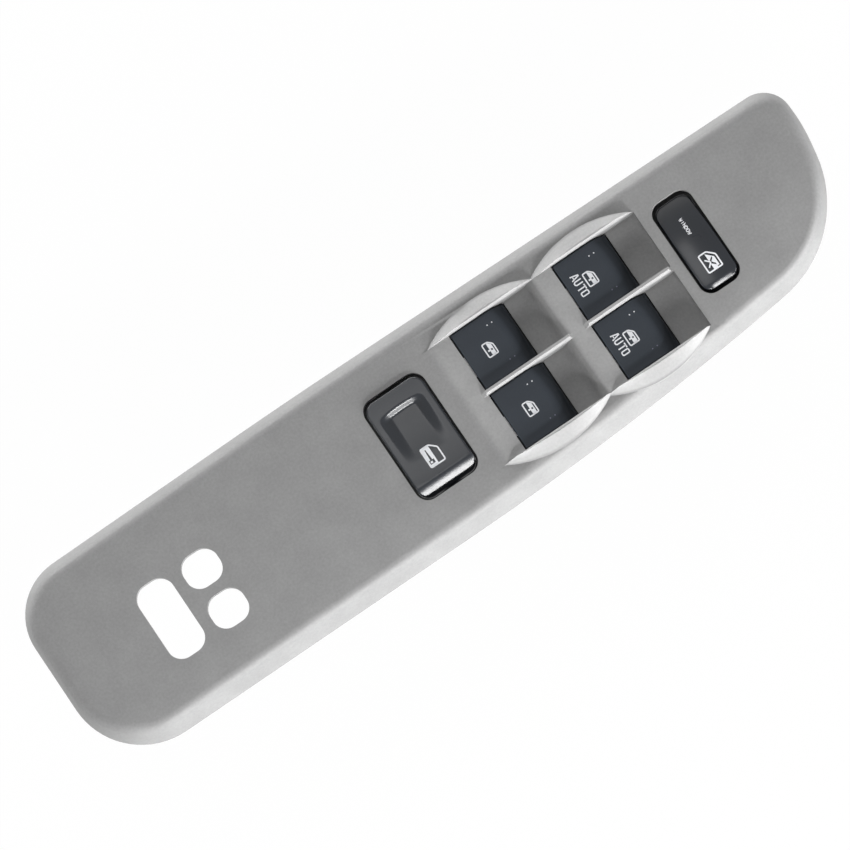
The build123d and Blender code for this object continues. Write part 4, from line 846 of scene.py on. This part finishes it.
class OBJECT_OT_lockout_rocker(bpy.types.Operator):
    """Makes the crowned window lock-out rocker, latched with its far end down"""
    bl_idname = "switch_panel.lockout_rocker"
    bl_label = "Make the lock-out rocker"

    def execute(self, context):
        look = context.scene.rocker_sizes
        gloss = grained(
            "lockout_black", tuple(look.colour), look.roughness,
            grain=0.0006, depth=0.0000005, mottle=0.04, coat=look.coat, specular=0.12)
        ink = bpy.data.materials["print_white"]
        x0, y0, width, length = LOCKOUT
        tilt = np.array(Matrix.Rotation(LOCKOUT_TILT, 3, "X"))
        pivot = np.array([0, y0, HINGE_Z])

        def turn(points):
            return (points - pivot) @ tilt.T + pivot

        points, faces = rocker_shell(
            (width, length), LOCKOUT_CORNER, lockout_height, TIP_Z, side=30)
        cap = make_piece(
            "lockout_rocker_cap", turn(points + (x0, y0, 0)), faces,
            "lockout_rocker_body", gloss)
        sharpen(cap)
        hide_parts("lockout_rocker")

        def lay_at(along, across):
            def lay(a, b):
                x, y = b + along, across - a
                z = lockout_height(x - x0, y - y0 - SEAT) + PRINT_RISE
                return turn(np.stack([x, y, z], -1))
            return lay

        points, faces = print_shells(*barred_print(), lay_at(*LOCKOUT_MARK))
        make_piece(
            "lockout_mark", points, faces, "lockout_rocker_body", ink, smooth=False)
        points, faces = print_shells(
            word_print("WINDOW", WORD_HEIGHT, WORD_PITCH), [], lay_at(*WORD_AT))
        make_piece(
            "lockout_word", points, faces, "lockout_rocker_body", ink, smooth=False)
        return {"FINISHED"}


# Studio

def white_for(tree, sees_colour, other):
    """Mixes two shaders: the first for the rays that show a background, the second for the
    light."""
    path = tree.nodes.new("ShaderNodeLightPath")
    total = path.outputs[SHOWING[0]]
    for kind in SHOWING[1:]:
        bigger = tree.nodes.new("ShaderNodeMath")
        bigger.operation = "MAXIMUM"
        tree.links.new(total, bigger.inputs[0])
        tree.links.new(path.outputs[kind], bigger.inputs[1])
        total = bigger.outputs[0]
    mix = tree.nodes.new("ShaderNodeMixShader")
    tree.links.new(total, mix.inputs[0])
    tree.links.new(other, mix.inputs[1])
    tree.links.new(sees_colour, mix.inputs[2])
    return mix.outputs[0]


def lamp(name, place, target, size, power):
    """A plain rectangular soft lamp aimed at a point."""
    data = bpy.data.lights.new(name, "AREA")
    data.shape = "RECTANGLE"
    data.size, data.size_y = size
    data.energy = power
    made = bpy.data.objects.new(name, data)
    aim = Vector(target) - Vector(place)
    made.rotation_euler = aim.to_track_quat("-Z", "Y").to_euler()
    made.location = place
    bpy.context.scene.collection.objects.link(made)


class OBJECT_OT_studio(bpy.types.Operator):
    """Sets the floor, the soft lamps and the camera"""
    bl_idname = "switch_panel.studio"
    bl_label = "Set the studio"

    def execute(self, context):
        look = context.scene.studio_sizes
        self.floor()
        self.sky(look.sky)
        for name, place, aim, size in LAMPS:
            lamp("lamp_" + name, place, aim, size, getattr(look, name))
        self.camera(look.distance)
        bpy.context.scene.view_settings.view_transform = "Standard"
        return {"FINISHED"}

    def floor(self):
        """A wide pale floor that looks white and keeps the shadow."""
        mesh = bpy.data.meshes.new("floor")
        far = 3.0
        corners = [(-far, -far, 0), (far, -far, 0), (far, far, 0), (-far, far, 0)]
        mesh.from_pydata(corners, [], [(0, 1, 2, 3)])
        floor = bpy.data.objects.new("floor", mesh)
        bpy.context.scene.collection.objects.link(floor)
        material, tree, base, node = shader("pale_floor")
        base.inputs["Base Color"].default_value = (0.95, 0.95, 0.95, 1)
        base.inputs["Roughness"].default_value = 0.9
        glow = node("ShaderNodeEmission", Color=(1, 1, 1, 1), Strength=1.0)
        keep = node("ShaderNodeMixShader")
        keep.inputs[0].default_value = FLOOR_GLOW
        tree.links.new(base.outputs[0], keep.inputs[1])
        tree.links.new(glow.outputs[0], keep.inputs[2])
        seen = white_for(tree, keep.outputs[0], base.outputs[0])
        tree.links.new(seen, tree.nodes["Material Output"].inputs["Surface"])
        mesh.materials.append(material)

    def sky(self, strength):
        """Plain grey light from all around that looks white where it is seen."""
        world = bpy.data.worlds.new("tent")
        bpy.context.scene.world = world
        world.use_nodes = True
        tree = world.node_tree
        tree.nodes.clear()
        plain = tree.nodes.new("ShaderNodeBackground")
        plain.inputs["Color"].default_value = (1, 1, 1, 1)
        plain.inputs["Strength"].default_value = strength
        white = tree.nodes.new("ShaderNodeBackground")
        white.inputs["Color"].default_value = (1, 1, 1, 1)
        white.inputs["Strength"].default_value = 1.0
        seen = white_for(tree, white.outputs[0], plain.outputs[0])
        out = tree.nodes.new("ShaderNodeOutputWorld")
        tree.links.new(seen, out.inputs["Surface"])

    def camera(self, distance):
        """A long lens above the panel, leaning to the near side and rolled."""
        away = Vector((0, -math.sin(LEAN), math.cos(LEAN)))
        up = Vector((0, math.cos(LEAN), math.sin(LEAN)))
        right = Vector((1, 0, 0))
        side = right * math.cos(ROLL) - up * math.sin(ROLL)
        top = right * math.sin(ROLL) + up * math.cos(ROLL)
        place = Vector(LOOK_AT) * MM + away * distance
        data = bpy.data.cameras.new("camera")
        data.sensor_width = 36.0
        data.lens = data.sensor_width * distance / (VIEW_SPAN * MM)
        data.clip_end = 20.0
        camera = bpy.data.objects.new("camera", data)
        turn = Matrix((side, top, away)).transposed().to_4x4()
        camera.matrix_world = Matrix.Translation(place) @ turn
        bpy.context.scene.collection.objects.link(camera)
        bpy.context.scene.camera = camera


STEPS = (
    OBJECT_OT_studio, OBJECT_OT_trim_finish, OBJECT_OT_inner_finish,
    OBJECT_OT_window_keys, OBJECT_OT_lock_rocker, OBJECT_OT_lockout_rocker,
)
GROUPS = {
    "trim_sizes": TrimSizes, "key_sizes": KeySizes,
    "rocker_sizes": RockerSizes, "studio_sizes": StudioSizes,
}


class VIEW3D_PT_switch_panel(bpy.types.Panel):
    """Lists the pieces of the switch panel and their sizes"""
    bl_label = "Window switch panel"
    bl_space_type = "VIEW_3D"
    bl_region_type = "UI"
    bl_category = "Window switch"

    def draw(self, context):
        for group in GROUPS:
            box = self.layout.box()
            values = getattr(context.scene, group)
            for key in values.__annotations__:
                box.prop(values, key)
        for step in STEPS:
            self.layout.operator(step.bl_idname)


def register():
    for kind in (*GROUPS.values(), *STEPS, VIEW3D_PT_switch_panel):
        bpy.utils.register_class(kind)
    for name, group in GROUPS.items():
        setattr(bpy.types.Scene, name, bpy.props.PointerProperty(type=group))


def unregister():
    for name in GROUPS:
        delattr(bpy.types.Scene, name)
    for kind in (VIEW3D_PT_switch_panel, *reversed(STEPS), *reversed(GROUPS.values())):
        bpy.utils.unregister_class(kind)


def main():
    register()
    for step in STEPS:
        group, name = step.bl_idname.split(".")
        getattr(getattr(bpy.ops, group), name)()


if __name__ == "__main__":
    main()
